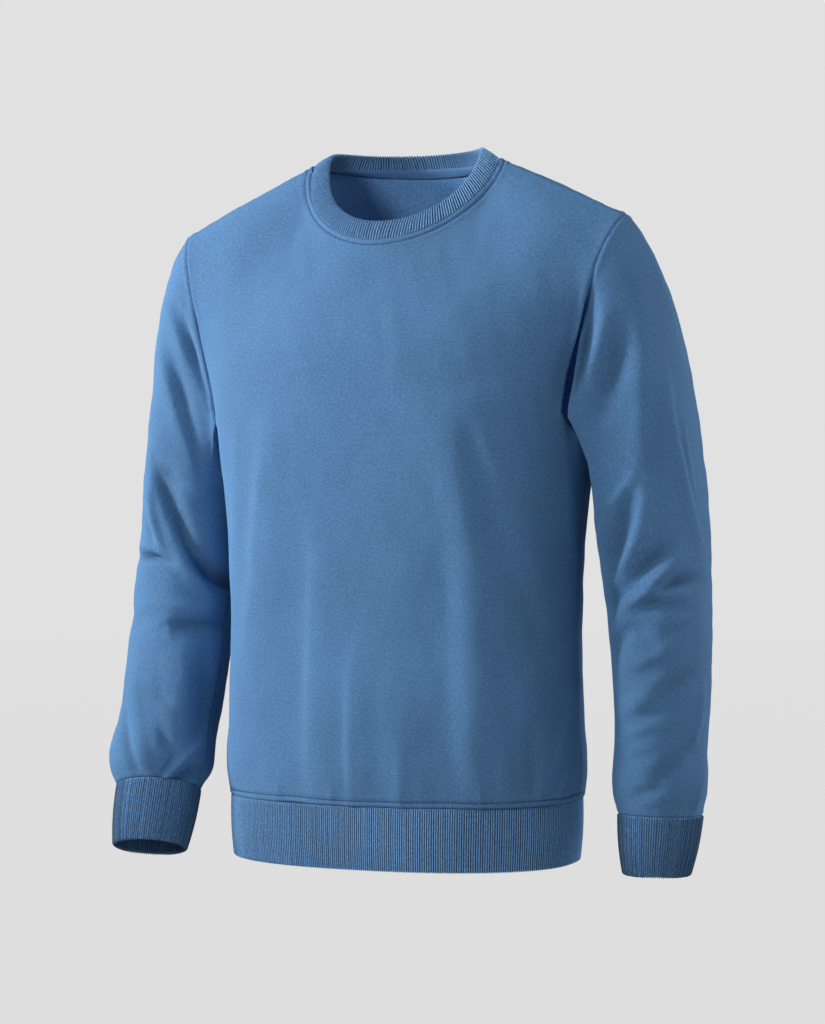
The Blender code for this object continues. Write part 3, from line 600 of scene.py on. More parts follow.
def dressed_panel(panel, folds, seed):
    """Panel with its folds, unevenness and seams: points, normals, faces, flat and so on.

    The kink below each shoulder's neck corner is eased on an even net, and the eased form is
    then carried over to a net with more columns beside the corner.
    """
    stops = (-1.0, -ARM_SHARE, -NECK_SHARE, 0.0, NECK_SHARE, ARM_SHARE, 1.0)
    tight = {1.0: (4.0, 0.010), ARM_SHARE: (5.0, 0.012)}
    tight.update({-place: closer for place, closer in tight.items()})
    even = spaced(stops, PANEL_COLUMNS, tight)
    start = int(np.searchsorted(even, NECK_SHARE - 1e-6))
    beside = even[start:start + CORNER_COLUMNS + 1]
    extra = np.linspace(beside[:-1], beside[1:], CORNER_SPLIT)[1:-1].reshape(-1)
    u = np.sort(np.concatenate([even, extra, -extra]))
    sewn, faces, flat, low_index, high_index = panel_net(panel, even)
    upper = even[on_chest(even)]
    place = np.concatenate([np.tile(even, len(low_index)), np.tile(upper, len(high_index) - 1)])
    near = bell(np.abs(place) - NECK_SHARE, CORNER_SPREAD)
    edge = np.concatenate([high_index[-1], low_index[0], low_index[:, 0], low_index[:, -1]])
    near[np.concatenate([edge, high_index[:, 0], high_index[:, -1]])] = 0.0
    eased = relaxed(sewn, faces, CORNER_EASE * near, CORNER_ROUNDS) - sewn
    eased_low = eased[low_index]
    eased_high = eased[high_index[1:]]
    sewn, faces, flat, low_index, high_index = panel_net(panel, u)
    moved = np.zeros_like(sewn)
    for columns, wanted, index, values in (
        (even, u, low_index, eased_low),
        (upper, u[on_chest(u)], high_index[1:], eased_high),
    ):
        left = np.clip(np.searchsorted(columns, wanted, side="right") - 1, 0, len(columns) - 2)
        share = ((wanted - columns[left]) / (columns[left + 1] - columns[left]))[None, :, None]
        moved[index] = (1.0 - share) * values[:, left] + share * values[:, left + 1]
    points = sewn + moved
    normals = point_normals(points, faces)
    height = fold_relief(folds, points, normals)
    height += swells(points, PANEL_SWELLS, seed)
    neck, hem, plain = panel_seams(panel)
    sunk_and_painted_shade = np.zeros(len(points))
    gaps = {}
    # Beside the stitched seams the colour gets painted shade in the seam and along the stitch row, and a
    # painted highlight on the plump strip; the plain seams get painted shade.
    for name, line in (("neck", neck), ("hem", hem)):
        gap, along = gap_to(sewn, line)
        gaps[name] = gap, along
        height += stitched_relief(gap, along)
        sunk_and_painted_shade -= STRIP_PAINTED_HIGHLIGHT * bell(gap - STITCH_AT / 2, STRIP_PAINTED_HIGHLIGHT_WIDTH, 4)
        sunk_and_painted_shade = np.maximum(sunk_and_painted_shade, STITCHED_SHADE * bell(gap, SEAM_WIDTH))
        sunk_and_painted_shade = np.maximum(sunk_and_painted_shade, ROW_SHADE * bell(gap - STITCH_AT, STITCH_WIDTH))
    for line in plain:
        gap, along = gap_to(sewn, line)
        height += seam_relief(gap, along)
        sunk_and_painted_shade = np.maximum(sunk_and_painted_shade, PLAIN_SHADE * bell(gap, SEAM_WIDTH))
    points = points + normals * height[:, None]
    return points, point_normals(points, faces), faces, flat, sunk_and_painted_shade, gaps


def stitch_line(points, normals, faces, gap, along):
    """Points of the line on the cloth that runs STITCH_AT away from a seam, in order."""
    a = faces.reshape(-1)
    b = np.roll(faces, -1, axis=1).reshape(-1)
    crossing = (gap[a] < STITCH_AT) & (gap[b] >= STITCH_AT)
    a, b = a[crossing], b[crossing]
    share = ((STITCH_AT - gap[a]) / (gap[b] - gap[a]))[:, None]
    line = points[a] + share * (points[b] - points[a]) + normals[a] * STITCH_RISE
    place = along[a] + share[:, 0] * (along[b] - along[a])
    inside = (place > STITCH_RISE) & (place < along.max() - STITCH_RISE)
    return line[inside][np.argsort(place[inside])]


# The outside is matt with a faint marl. The inside is brushed longer and paler, and its colour is
# also painted lighter, as painted light that lifts the shade inside the garment. Its stronger sheen
# softens the shade in the hollow of the garment.
FLEECE_WALL = 0.0018
fleece = cloth_finish(
    "brushed_cotton_fleece", dark=srgb("#4B79A8"), light=srgb("#6795C2"),
    wale=0.0011, course=0.0009, nap=0.0005, sheen=0.16, mottle=0.19, painted_shade_floor=0.36)
fleece_back_with_painted_light = cloth_finish(
    "fleece_brushed_back_with_painted_light", dark=srgb("#5F97CE"), light=srgb("#83B8EB"),
    wale=0.0016, course=0.0014, nap=0.0010, sheen=0.40, mottle=0.16, painted_shade_floor=0.36)

FRONT_FOLDS = (
    (25.0, -0.131, -0.254, -0.141, -0.359, -0.160, -0.545, 0.0044, 0.0260, 0.0090),
    (25.0, -0.164, -0.257, -0.168, -0.429, -0.171, -0.622, 0.0024, 0.0080, 0.0050),
    (25.0, -0.087, -0.359, -0.089, -0.501, -0.090, -0.622, 0.0028, 0.0170, 0.0070),
    (25.0, -0.107, -0.331, -0.108, -0.511, -0.109, -0.637, -0.0080, 0.0260, 0.0400),
    (25.0, -0.048, -0.480, -0.049, -0.555, -0.050, -0.623, 0.0032, 0.0220, 0.0050),
    (25.0, -0.027, -0.461, -0.025, -0.545, -0.025, -0.618, -0.0010, 0.0090, 0.0120),
    (25.0, -0.004, -0.548, -0.004, -0.586, -0.005, -0.619, 0.0018, 0.0080, 0.0060),
    (25.0, 0.033, -0.331, 0.038, -0.497, 0.042, -0.624, -0.0056, 0.0160, 0.0300),
    (25.0, 0.056, -0.313, 0.062, -0.497, 0.066, -0.615, 0.0022, 0.0220, 0.0140),
    (25.0, 0.042, -0.262, 0.054, -0.331, 0.071, -0.441, 0.0018, 0.0120, 0.0140),
    (25.0, 0.055, -0.258, 0.076, -0.331, 0.118, -0.449, -0.0036, 0.0090, 0.0140),
    (25.0, 0.073, -0.267, 0.104, -0.349, 0.163, -0.499, 0.0014, 0.0100, 0.0070),
    (25.0, 0.047, -0.225, 0.062, -0.349, 0.086, -0.579, 0.0090, 0.0600, 0.0550),
    (25.0, -0.183, -0.534, 0.000, -0.531, 0.172, -0.522, 0.0060, 0.0500, 0.0460),
    (25.0, 0.088, -0.460, 0.095, -0.506, 0.099, -0.552, -0.0016, 0.0100, 0.0090),
    (25.0, 0.163, -0.495, 0.153, -0.533, 0.141, -0.585, 0.0020, 0.0040, 0.0050),
    (25.0, 0.159, -0.184, 0.157, -0.248, 0.159, -0.321, -0.0070, 0.0060, 0.0450),
    (25.0, 0.125, -0.276, 0.106, -0.262, 0.077, -0.247, -0.0014, 0.0100, 0.0120),
    (25.0, 0.156, -0.580, 0.148, -0.596, 0.142, -0.611, 0.0020, 0.0030, 0.0030),
    (25.0, 0.165, -0.589, 0.159, -0.603, 0.154, -0.615, -0.0022, 0.0030, 0.0030),
    (25.0, -0.009, -0.144, -0.008, -0.192, -0.002, -0.243, 0.0010, 0.0140, 0.0090),
    (25.0, -0.119, -0.209, -0.094, -0.206, -0.065, -0.205, 0.0008, 0.0040, 0.0040),
    (25.0, 0.088, -0.553, 0.091, -0.584, 0.092, -0.613, 0.0016, 0.0090, 0.0060),
    (25.0, 0.116, -0.534, 0.118, -0.575, 0.120, -0.610, -0.0018, 0.0080, 0.0080),
    (25.0, 0.163, -0.145, 0.157, -0.188, 0.153, -0.242, -0.0036, 0.0040, 0.0080),
    (25.0, -0.070, -0.594, -0.069, -0.608, -0.069, -0.622, 0.0010, 0.0030, 0.0030),
    (25.0, -0.123, -0.593, -0.123, -0.608, -0.123, -0.622, 0.0010, 0.0040, 0.0030),
    (25.0, 0.069, -0.593, 0.070, -0.604, 0.070, -0.617, 0.0009, 0.0030, 0.0030),
    (25.0, 0.125, -0.590, 0.126, -0.602, 0.127, -0.614, 0.0009, 0.0030, 0.0030),
)

points, normals, faces, flat, sunk_and_painted_shade, gaps = dressed_panel("front", FRONT_FOLDS, 11)
front_panel = cloth_piece(
    "front_panel_cloth", points, normals, faces, flat, sunk_and_painted_shade, FLEECE_WALL, [fleece, fleece_back_with_painted_light])
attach(front_panel, ROOT)
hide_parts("front_panel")
hem_row = stitch_line(points, normals, faces, *gaps["hem"])
neck_row = stitch_line(points, normals, faces, *gaps["neck"])

# ================================================================ back panel
# The back is cut from the same fleece, higher at the neck than the front and with the same
# curved armholes. Its top edge carries the neckband and, inside, the neck tape.

BACK_FOLDS = (
    (180.0, 0.150, -0.165, 0.110, -0.215, 0.045, -0.285, -0.0045, 0.0150, 0.0140),
    (180.0, -0.150, -0.170, -0.115, -0.225, -0.055, -0.300, -0.0042, 0.0140, 0.0150),
    (180.0, 0.120, -0.210, 0.075, -0.255, 0.020, -0.300, 0.0025, 0.0120, 0.0120),
    (180.0, -0.125, -0.225, -0.080, -0.270, -0.025, -0.310, 0.0022, 0.0120, 0.0120),
    (180.0, 0.160, -0.250, 0.150, -0.400, 0.152, -0.600, 0.0031, 0.0120, 0.0100),
    (180.0, -0.160, -0.260, -0.150, -0.420, -0.154, -0.600, 0.0031, 0.0100, 0.0120),
    (180.0, 0.128, -0.330, 0.122, -0.460, 0.120, -0.612, -0.0031, 0.0120, 0.0110),
    (180.0, 0.092, -0.400, 0.094, -0.500, 0.092, -0.614, 0.0034, 0.0090, 0.0090),
    (180.0, 0.066, -0.430, 0.064, -0.520, 0.066, -0.614, -0.0036, 0.0090, 0.0090),
    (180.0, 0.036, -0.470, 0.036, -0.545, 0.038, -0.614, 0.0031, 0.0080, 0.0080),
    (180.0, 0.008, -0.450, 0.006, -0.540, 0.008, -0.614, -0.0039, 0.0090, 0.0100),
    (180.0, -0.022, -0.420, -0.024, -0.520, -0.022, -0.614, 0.0031, 0.0090, 0.0090),
    (180.0, -0.052, -0.460, -0.052, -0.540, -0.050, -0.614, -0.0034, 0.0090, 0.0080),
    (180.0, -0.082, -0.430, -0.084, -0.530, -0.080, -0.614, 0.0031, 0.0080, 0.0090),
    (180.0, -0.112, -0.380, -0.114, -0.500, -0.110, -0.612, -0.0034, 0.0100, 0.0110),
    (180.0, -0.060, -0.330, -0.015, -0.365, 0.045, -0.360, -0.0025, 0.0130, 0.0110),
    (180.0, 0.080, -0.060, 0.040, -0.085, -0.010, -0.090, -0.0020, 0.0120, 0.0120),
)

points, normals, faces, flat, sunk_and_painted_shade, gaps = dressed_panel("back", BACK_FOLDS, 23)
back_panel = cloth_piece(
    "back_panel_cloth", points, normals, faces, flat, sunk_and_painted_shade, FLEECE_WALL, [fleece, fleece_back_with_painted_light])
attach(back_panel, ROOT)
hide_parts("back_panel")
hem_row = np.concatenate([hem_row, stitch_line(points, normals, faces, *gaps["hem"])[::-1]])
neck_row = np.concatenate([neck_row, stitch_line(points, normals, faces, *gaps["neck"])[::-1]])

# ================================================================ sleeves
# Each sleeve is one piece of fleece joined under the arm into a tube, with a rounded head set
# into the armhole. The left arm hangs straight and the right one bends forward a little, so
# the cloth breaks into creases inside the elbow and blouses over the cuff.

ARM_COLUMNS = ("height", "out", "fore", "half_width", "half_depth", "squareness")
ARM_SECTIONS = {
    "left": (
        (-0.300, 0.2460, -0.0120, 0.0505, 0.0600, 2.60),
        (-0.360, 0.2530, -0.0080, 0.0505, 0.0580, 2.35),
        (-0.430, 0.2605, -0.0030, 0.0480, 0.0530, 2.15),
        (-0.500, 0.2645, 0.0010, 0.0450, 0.0490, 2.00),
        (-0.560, 0.2645, 0.0040, 0.0425, 0.0460, 2.00),
        (-0.604, 0.2645, 0.0060, 0.0425, 0.0455, 2.00),
        (-0.6215, 0.2650, 0.0070, 0.0385, 0.0400, 2.00),
    ),
    "right": (
        (-0.300, 0.2410, -0.0140, 0.0485, 0.0585, 2.60),
        (-0.360, 0.2485, -0.0150, 0.0490, 0.0565, 2.35),
        (-0.430, 0.2545, -0.0100, 0.0505, 0.0560, 2.15),
        (-0.505, 0.2495, 0.0170, 0.0505, 0.0545, 2.00),
        (-0.560, 0.2470, 0.0380, 0.0495, 0.0525, 2.00),
        (-0.604, 0.2460, 0.0550, 0.0490, 0.0515, 2.00),
        (-0.618, 0.2440, 0.0600, 0.0410, 0.0425, 2.00),
    ),
}
CUFF_ENDS = {
    "left": (-0.6765, 0.2620, 0.0090, 0.0305, 0.0325, 2.00),
    "right": (-0.6745, 0.2415, 0.0810, 0.0355, 0.0375, 2.00),
}
ARMHOLE_CENTRE = (0.2060, 0.0030, -0.1700)
SLEEVE_HEAD = (0.70, 0.0, -0.71)
SLEEVE_UNDERARM = (0.34, 0.0, -1.0)
SLEEVE_HEAD_REACH = 0.85
SLEEVE_NEXT = 0.02
LEDGE_STEPS = 3
CHEST_STEPS = (0.0, 0.14, 0.27, 0.40, 0.52, 0.64, 0.75, 0.85, 0.93, 1.0)
SIDES = {"left": 1.0, "right": -1.0}
SLEEVE_WIDTH = 0.36
SLEEVE_COLUMNS = (106, 106)
HEAD_ROWS = 62
ARM_ROWS = 122
SLEEVE_SWELLS = ((0.0006, 0.060), (0.0003, 0.024))
SLEEVE_LIPS = (0.0007, 0.0001, 0.0003)
# Painted shade: how dark the sleeve's seams are painted, and how dark its creases are painted, fully from
# CREASE_DEEP deep.
SLEEVE_SHADE = 0.30
CREASE_SHADE = 0.5
CREASE_DEEP = 0.010


def armhole_point(side, c):
    """Armhole seam: c is 0 under the arm, 0.5 at the shoulder tip, 1 under it again."""
    c = np.asarray(c, float)
    half = LEDGE_STEPS + len(CHEST_STEPS) - 1
    step = np.where(c <= 0.5, c, 1.0 - c) * 2.0 * half
    u = SIDES[side] * (1.0 - np.clip(step / LEDGE_STEPS, 0.0, 1.0) * (1.0 - ARM_SHARE))
    v = np.interp(step - LEDGE_STEPS, np.arange(len(CHEST_STEPS)), CHEST_STEPS)
    made = {}
    for panel in ("front", "back"):
        low = body_point(panel, u, chest_line(u))
        high = chest_point(panel, SIDES[side] * ARM_SHARE * np.ones_like(v), v)
        made[panel] = np.where((step <= LEDGE_STEPS)[..., None], low, high)
    return np.where((c <= 0.5)[..., None], made["front"], made["back"])


def arm_frame(side, s):
    """Centre, outward and forward directions and half sizes of an arm's ring at s."""
    arm = table(ARM_COLUMNS, (*ARM_SECTIONS[side], CUFF_ENDS[side]))
    centres = np.stack([arm["out"], -arm["fore"], arm["height"]], axis=-1)
    centres = np.concatenate([np.array(ARMHOLE_CENTRE)[None], centres])
    centres[:, 0] *= SIDES[side]
    steps = np.linalg.norm(np.diff(centres, axis=0), axis=-1)
    length = np.concatenate(([0.0], np.cumsum(steps)))
    at = length[1] + np.asarray(s, float) * (length[-2] - length[1])
    centre = np.stack([smooth(length, centres[:, k], at) for k in range(3)], axis=-1)
    ahead = [smooth(length, centres[:, k], at + TANGENT_STEP) for k in range(3)]
    behind = [smooth(length, centres[:, k], at - TANGENT_STEP) for k in range(3)]
    along = unit(np.stack(ahead, axis=-1) - np.stack(behind, axis=-1))
    forward = np.cross(along, np.array([1.0, 0.0, 0.0]))
    forward = unit(forward * np.where(forward[..., 1:2] > 0.0, -1.0, 1.0))
    outward = np.cross(along, forward)
    outward = unit(outward * np.where(outward[..., :1] * SIDES[side] < 0.0, -1.0, 1.0))
    sizes = {name: smooth(length[1:], arm[name], at) for name in ARM_COLUMNS[3:]}
    return centre, outward, forward, sizes


def ring_angle(side, c):
    """Angle on the arm's rings that belongs to a place round the armhole."""
    fine = np.linspace(0.0, 1.0, 521)
    steps = np.linalg.norm(np.diff(armhole_point(side, fine), axis=0), axis=-1)
    front = np.cumsum(steps[:260]) / np.sum(steps[:260]) * math.pi
    back = np.cumsum(steps[260:]) / np.sum(steps[260:]) * math.pi + math.pi
    return np.interp(c, fine, np.concatenate(([0.0], front, back)))


def ring_offset(angle, sizes, outward, forward):
    """Step from an arm's centre to its ring, which starts on the side next to the body."""
    power = 2.0 / sizes["squareness"]
    x = -np.sign(np.cos(angle)) * np.abs(np.cos(angle)) ** power * sizes["half_width"]
    y = np.sign(np.sin(angle)) * np.abs(np.sin(angle)) ** power * sizes["half_depth"]
    return x[..., None] * outward + y[..., None] * forward


def arm_ring(side, angle, s):
    """Point of the arm below its head: s goes down to the cuff seam."""
    angle, s = np.broadcast_arrays(angle, s)
    centre, outward, forward, sizes = arm_frame(side, s)
    return centre + ring_offset(angle, sizes, outward, forward)


def sleeve_head(side, c, angle, t):
    """Point of the sleeve's head: t is 0 at the armhole and 1 at the first arm ring."""
    start = armhole_point(side, c)
    end = arm_ring(side, angle, 0.0)
    nearby = arm_ring(side, angle, SLEEVE_NEXT)
    reach = np.linalg.norm(end - start, axis=-1, keepdims=True)
    top = ((1.0 - np.cos(angle)) / 2.0)[..., None]
    leave = np.array(SLEEVE_UNDERARM) * (1.0 - top) + np.array(SLEEVE_HEAD) * top
    leave = unit(leave * np.array([SIDES[side], 1.0, 1.0]))
    leave = leave * reach * (1.0 + top * (SLEEVE_HEAD_REACH - 1.0))
    return sweep(start, leave, end, unit(nearby - end) * reach, t)


def dressed_sleeve(side, folds, seed):
    """Sleeve with its folds and seams: points, normals, faces, flat places and painted shade."""
    c = spaced((0.0, 0.5, 1.0), SLEEVE_COLUMNS, {0.0: (4.0, 0.006), 1.0: (4.0, 0.006)})[:-1]
    angle = ring_angle(side, c)
    head_rows = spaced((0.0, 1.0), (HEAD_ROWS,), {0.0: (5.0, 0.030)})
    arm_rows = spaced((0.0, 1.0), (ARM_ROWS,), {1.0: (5.0, 0.012)})
    head = np.stack([sleeve_head(side, c, angle, t) for t in head_rows])
    arm = arm_ring(side, angle, arm_rows[1:, None])
    net = np.concatenate([head, arm])
    points = net.reshape(-1, 3)
    index = np.arange(len(points)).reshape(net.shape[:2])
    faces = net_faces(index, closed=True)
    if side == "left":
        faces = faces[:, ::-1]
    steps = np.linalg.norm(np.diff(net, axis=0), axis=-1)
    run = np.concatenate([np.zeros((1, len(c))), np.cumsum(steps, axis=0)])
    flat = np.stack([np.tile(c * SLEEVE_WIDTH, len(net)), -run.reshape(-1)], axis=-1)
    normals = point_normals(points, faces)
    height = fold_relief(folds, points, normals)
    # Painted shade darkens the cloth in the deepest creases.
    sunk_and_painted_shade = CREASE_SHADE * ease(-height / CREASE_DEEP)
    height += swells(points, SLEEVE_SWELLS, seed)
    lines = [armhole_point(side, np.linspace(0.0, 1.0, 209))]
    lines.append(np.concatenate([head[:, 0], arm[:, 0]]))
    lines.append(np.concatenate([arm[-1], arm[-1, :1]]))
    # Each seam sinks between its lips, and painted shade darkens its line.
    for line, lip in zip(lines, SLEEVE_LIPS):
        gap, along = gap_to(points, line)
        height += seam_relief(gap, along, lip)
        sunk_and_painted_shade = np.maximum(sunk_and_painted_shade, SLEEVE_SHADE * bell(gap, SEAM_WIDTH))
    points = points + normals * height[:, None]
    return points, point_normals(points, faces), faces, flat, sunk_and_painted_shade


SLEEVE_FOLDS = {
    "left": (
        (25.0, 0.186, -0.148, 0.177, -0.194, 0.160, -0.241, 0.0055, 0.0090, 0.0060),
        (25.0, 0.199, -0.169, 0.191, -0.217, 0.169, -0.261, -0.0070, 0.0110, 0.0090),
        (25.0, 0.170, -0.125, 0.165, -0.188, 0.154, -0.242, -0.0095, 0.0060, 0.0080),
        (25.0, 0.215, -0.167, 0.216, -0.249, 0.211, -0.300, 0.0038, 0.0160, 0.0110),
        (25.0, 0.169, -0.257, 0.178, -0.313, 0.185, -0.375, 0.0030, 0.0120, 0.0060),
        (25.0, 0.197, -0.386, 0.203, -0.468, 0.205, -0.550, 0.0035, 0.0140, 0.0070),
        (25.0, 0.228, -0.222, 0.229, -0.277, 0.230, -0.331, -0.0035, 0.0120, 0.0120),
        (25.0, 0.209, -0.302, 0.198, -0.324, 0.183, -0.341, 0.0057, 0.0080, 0.0040),
        (25.0, 0.218, -0.315, 0.211, -0.366, 0.191, -0.410, 0.0070, 0.0100, 0.0050),
        (25.0, 0.205, -0.322, 0.197, -0.364, 0.184, -0.409, -0.0100, 0.0060, 0.0180),
        (25.0, 0.191, -0.404, 0.187, -0.428, 0.189, -0.457, -0.0060, 0.0090, 0.0100),
        (25.0, 0.240, -0.210, 0.249, -0.287, 0.278, -0.390, 0.0046, 0.0040, 0.0070),
        (25.0, 0.257, -0.258, 0.261, -0.299, 0.269, -0.331, 0.0022, 0.0030, 0.0030),
        (25.0, 0.246, -0.378, 0.221, -0.392, 0.187, -0.429, -0.0076, 0.0050, 0.0120),
        (25.0, 0.252, -0.378, 0.226, -0.409, 0.191, -0.447, 0.0066, 0.0070, 0.0060),
        (25.0, 0.197, -0.446, 0.219, -0.426, 0.260, -0.430, -0.0056, 0.0050, 0.0080),
        (25.0, 0.227, -0.415, 0.250, -0.407, 0.281, -0.402, -0.0074, 0.0080, 0.0050),
        (25.0, 0.226, -0.463, 0.201, -0.453, 0.188, -0.507, -0.0056, 0.0070, 0.0060),
        (25.0, 0.235, -0.454, 0.248, -0.450, 0.262, -0.442, -0.0020, 0.0040, 0.0040),
        (25.0, 0.201, -0.499, 0.219, -0.486, 0.244, -0.472, -0.0022, 0.0060, 0.0080),
        (25.0, 0.209, -0.479, 0.227, -0.474, 0.252, -0.462, 0.0022, 0.0080, 0.0080),
        (25.0, 0.223, -0.512, 0.248, -0.500, 0.274, -0.479, -0.0042, 0.0090, 0.0080),
        (25.0, 0.204, -0.534, 0.223, -0.525, 0.248, -0.516, -0.0024, 0.0060, 0.0080),
        (25.0, 0.198, -0.526, 0.214, -0.515, 0.233, -0.503, 0.0026, 0.0080, 0.0080),
        (25.0, 0.199, -0.549, 0.218, -0.540, 0.242, -0.532, 0.0016, 0.0070, 0.0070),
        (25.0, 0.219, -0.588, 0.244, -0.572, 0.270, -0.547, -0.0050, 0.0110, 0.0090),
        (25.0, 0.202, -0.571, 0.216, -0.564, 0.233, -0.558, -0.0016, 0.0040, 0.0060),
        (25.0, 0.199, -0.554, 0.214, -0.547, 0.231, -0.541, -0.0014, 0.0040, 0.0060),
        (25.0, 0.201, -0.604, 0.219, -0.596, 0.246, -0.590, -0.0034, 0.0050, 0.0060),
        (25.0, 0.274, -0.492, 0.270, -0.524, 0.266, -0.557, 0.0035, 0.0030, 0.0040),
        (25.0, 0.277, -0.572, 0.269, -0.596, 0.265, -0.617, 0.0043, 0.0030, 0.0040),
        (205.0, -0.270, -0.200, -0.248, -0.260, -0.215, -0.330, -0.0061, 0.0090, 0.0080),
        (205.0, -0.262, -0.215, -0.240, -0.275, -0.208, -0.335, 0.0037, 0.0070, 0.0080),
        (205.0, -0.290, -0.385, -0.255, -0.400, -0.215, -0.380, -0.0078, 0.0100, 0.0070),
        (205.0, -0.285, -0.405, -0.250, -0.420, -0.212, -0.400, 0.0051, 0.0070, 0.0070),
        (205.0, -0.280, -0.435, -0.248, -0.452, -0.210, -0.440, -0.0061, 0.0090, 0.0070),
        (205.0, -0.262, -0.470, -0.240, -0.490, -0.214, -0.485, -0.0044, 0.0070, 0.0080),
        (205.0, -0.280, -0.520, -0.250, -0.545, -0.215, -0.540, -0.0041, 0.0080, 0.0080),
        (205.0, -0.270, -0.580, -0.245, -0.592, -0.220, -0.585, -0.0037, 0.0050, 0.0050),
        (115.0, 0.020, -0.250, 0.000, -0.330, -0.020, -0.400, -0.0034, 0.0090, 0.0100),
        (115.0, 0.035, -0.410, 0.005, -0.425, -0.030, -0.415, -0.0051, 0.0070, 0.0080),
        (115.0, 0.030, -0.560, 0.000, -0.580, -0.030, -0.575, -0.0034, 0.0060, 0.0060),
    ),
    "right": (
        (25.0, -0.239, -0.133, -0.225, -0.171, -0.199, -0.235, 0.0038, 0.0050, 0.0060),
        (25.0, -0.224, -0.143, -0.213, -0.182, -0.198, -0.228, -0.0075, 0.0040, 0.0100),
        (25.0, -0.250, -0.172, -0.235, -0.227, -0.215, -0.288, 0.0036, 0.0050, 0.0100),
        (25.0, -0.241, -0.174, -0.224, -0.228, -0.203, -0.310, -0.0055, 0.0080, 0.0050),
        (25.0, -0.197, -0.260, -0.192, -0.300, -0.186, -0.345, -0.0025, 0.0090, 0.0090),
        (25.0, -0.245, -0.300, -0.235, -0.308, -0.220, -0.316, -0.0025, 0.0050, 0.0050),
        (25.0, -0.254, -0.293, -0.242, -0.332, -0.223, -0.370, -0.0105, 0.0120, 0.0045),
        (25.0, -0.237, -0.342, -0.217, -0.381, -0.192, -0.416, -0.0105, 0.0110, 0.0045),
        (25.0, -0.207, -0.389, -0.188, -0.413, -0.156, -0.433, -0.0090, 0.0110, 0.0045),
        (25.0, -0.260, -0.307, -0.255, -0.350, -0.242, -0.387, 0.0055, 0.0040, 0.0050),
        (25.0, -0.231, -0.382, -0.208, -0.413, -0.186, -0.438, 0.0055, 0.0040, 0.0090),
        (25.0, -0.278, -0.391, -0.259, -0.388, -0.233, -0.394, -0.0065, 0.0030, 0.0040),
        (25.0, -0.271, -0.396, -0.253, -0.395, -0.235, -0.403, 0.0015, 0.0040, 0.0050),
        (25.0, -0.261, -0.353, -0.258, -0.365, -0.252, -0.375, -0.0022, 0.0040, 0.0040),
        (25.0, -0.239, -0.455, -0.216, -0.453, -0.180, -0.460, -0.0085, 0.0045, 0.0140),
        (25.0, -0.258, -0.433, -0.226, -0.438, -0.190, -0.444, 0.0026, 0.0080, 0.0040),
        (25.0, -0.229, -0.470, -0.223, -0.519, -0.229, -0.569, 0.0065, 0.0140, 0.0160),
        (25.0, -0.200, -0.471, -0.201, -0.530, -0.207, -0.578, -0.0040, 0.0090, 0.0100),
        (25.0, -0.285, -0.520, -0.275, -0.568, -0.260, -0.598, -0.0045, 0.0050, 0.0050),
        (25.0, -0.270, -0.499, -0.263, -0.558, -0.247, -0.592, 0.0024, 0.0060, 0.0080),
        (25.0, -0.247, -0.515, -0.238, -0.527, -0.228, -0.534, -0.0022, 0.0040, 0.0040),
        (25.0, -0.226, -0.485, -0.220, -0.502, -0.221, -0.521, 0.0016, 0.0050, 0.0050),
        (25.0, -0.242, -0.553, -0.234, -0.570, -0.223, -0.583, -0.0045, 0.0050, 0.0050),
        (25.0, -0.241, -0.611, -0.224, -0.591, -0.203, -0.576, 0.0055, 0.0040, 0.0040),
        (25.0, -0.246, -0.609, -0.234, -0.594, -0.225, -0.579, -0.0028, 0.0030, 0.0030),
        (25.0, -0.231, -0.611, -0.216, -0.600, -0.198, -0.592, -0.0050, 0.0050, 0.0060),
        (25.0, -0.220, -0.617, -0.210, -0.610, -0.201, -0.606, 0.0018, 0.0030, 0.0030),
        (-35.0, -0.232, -0.388, -0.205, -0.386, -0.176, -0.392, -0.0061, 0.0050, 0.0060),
        (-35.0, -0.240, -0.440, -0.205, -0.452, -0.180, -0.450, -0.0027, 0.0070, 0.0080),
        (205.0, 0.262, -0.250, 0.240, -0.310, 0.212, -0.360, -0.0054, 0.0090, 0.0080),
        (205.0, 0.280, -0.385, 0.250, -0.402, 0.212, -0.385, -0.0078, 0.0080, 0.0100),
        (205.0, 0.278, -0.408, 0.248, -0.424, 0.210, -0.408, 0.0051, 0.0070, 0.0070),
        (205.0, 0.270, -0.440, 0.240, -0.458, 0.206, -0.445, -0.0058, 0.0080, 0.0090),
        (205.0, 0.262, -0.490, 0.240, -0.505, 0.210, -0.500, -0.0041, 0.0080, 0.0080),
        (205.0, 0.262, -0.560, 0.245, -0.580, 0.215, -0.575, -0.0037, 0.0060, 0.0070),
    ),
}

for side, seed in (("left", 31), ("right", 47)):
    points, normals, faces, flat, sunk_and_painted_shade = dressed_sleeve(side, SLEEVE_FOLDS[side], seed)
    sleeve = cloth_piece(
        "sleeve_%s_cloth" % side, points, normals, faces, flat, sunk_and_painted_shade, FLEECE_WALL,
        [fleece, fleece_back_with_painted_light], SLEEVE_WIDTH)
    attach(sleeve, ROOT)
    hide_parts("sleeve_" + side)

# ================================================================ hem band
# The hem is a tube of one-by-one rib, knitted double and folded at its open edge. It is a
# little shorter round than the body, so the body blouses over it at the seam.

RIB_WALL = 0.0030
RIB_RELIEF = 0.0012
RIB_COLUMNS = 6
RIB_SEED = 5
RIB_ROUNDNESS = 1.3
RIB_SHALLOWEST = 0.88
RIB_DEEPEST = 1.06
RIB_BEAT = 0.37
RIB_SWING = 0.10
RIB_START = 0.0002
RIB_RISE = 0.0014
RIB_INSIDE = 0.8
EDGE_POINTS = 7
BAND_TUCK = 0.6
LEVEL = np.array([1.0, 1.0, 0.0])
HEM_BAND_HEIGHT = 0.0600
HEM_BAND_TAPER = 0.985
HEM_RIB_PITCH = 0.0022


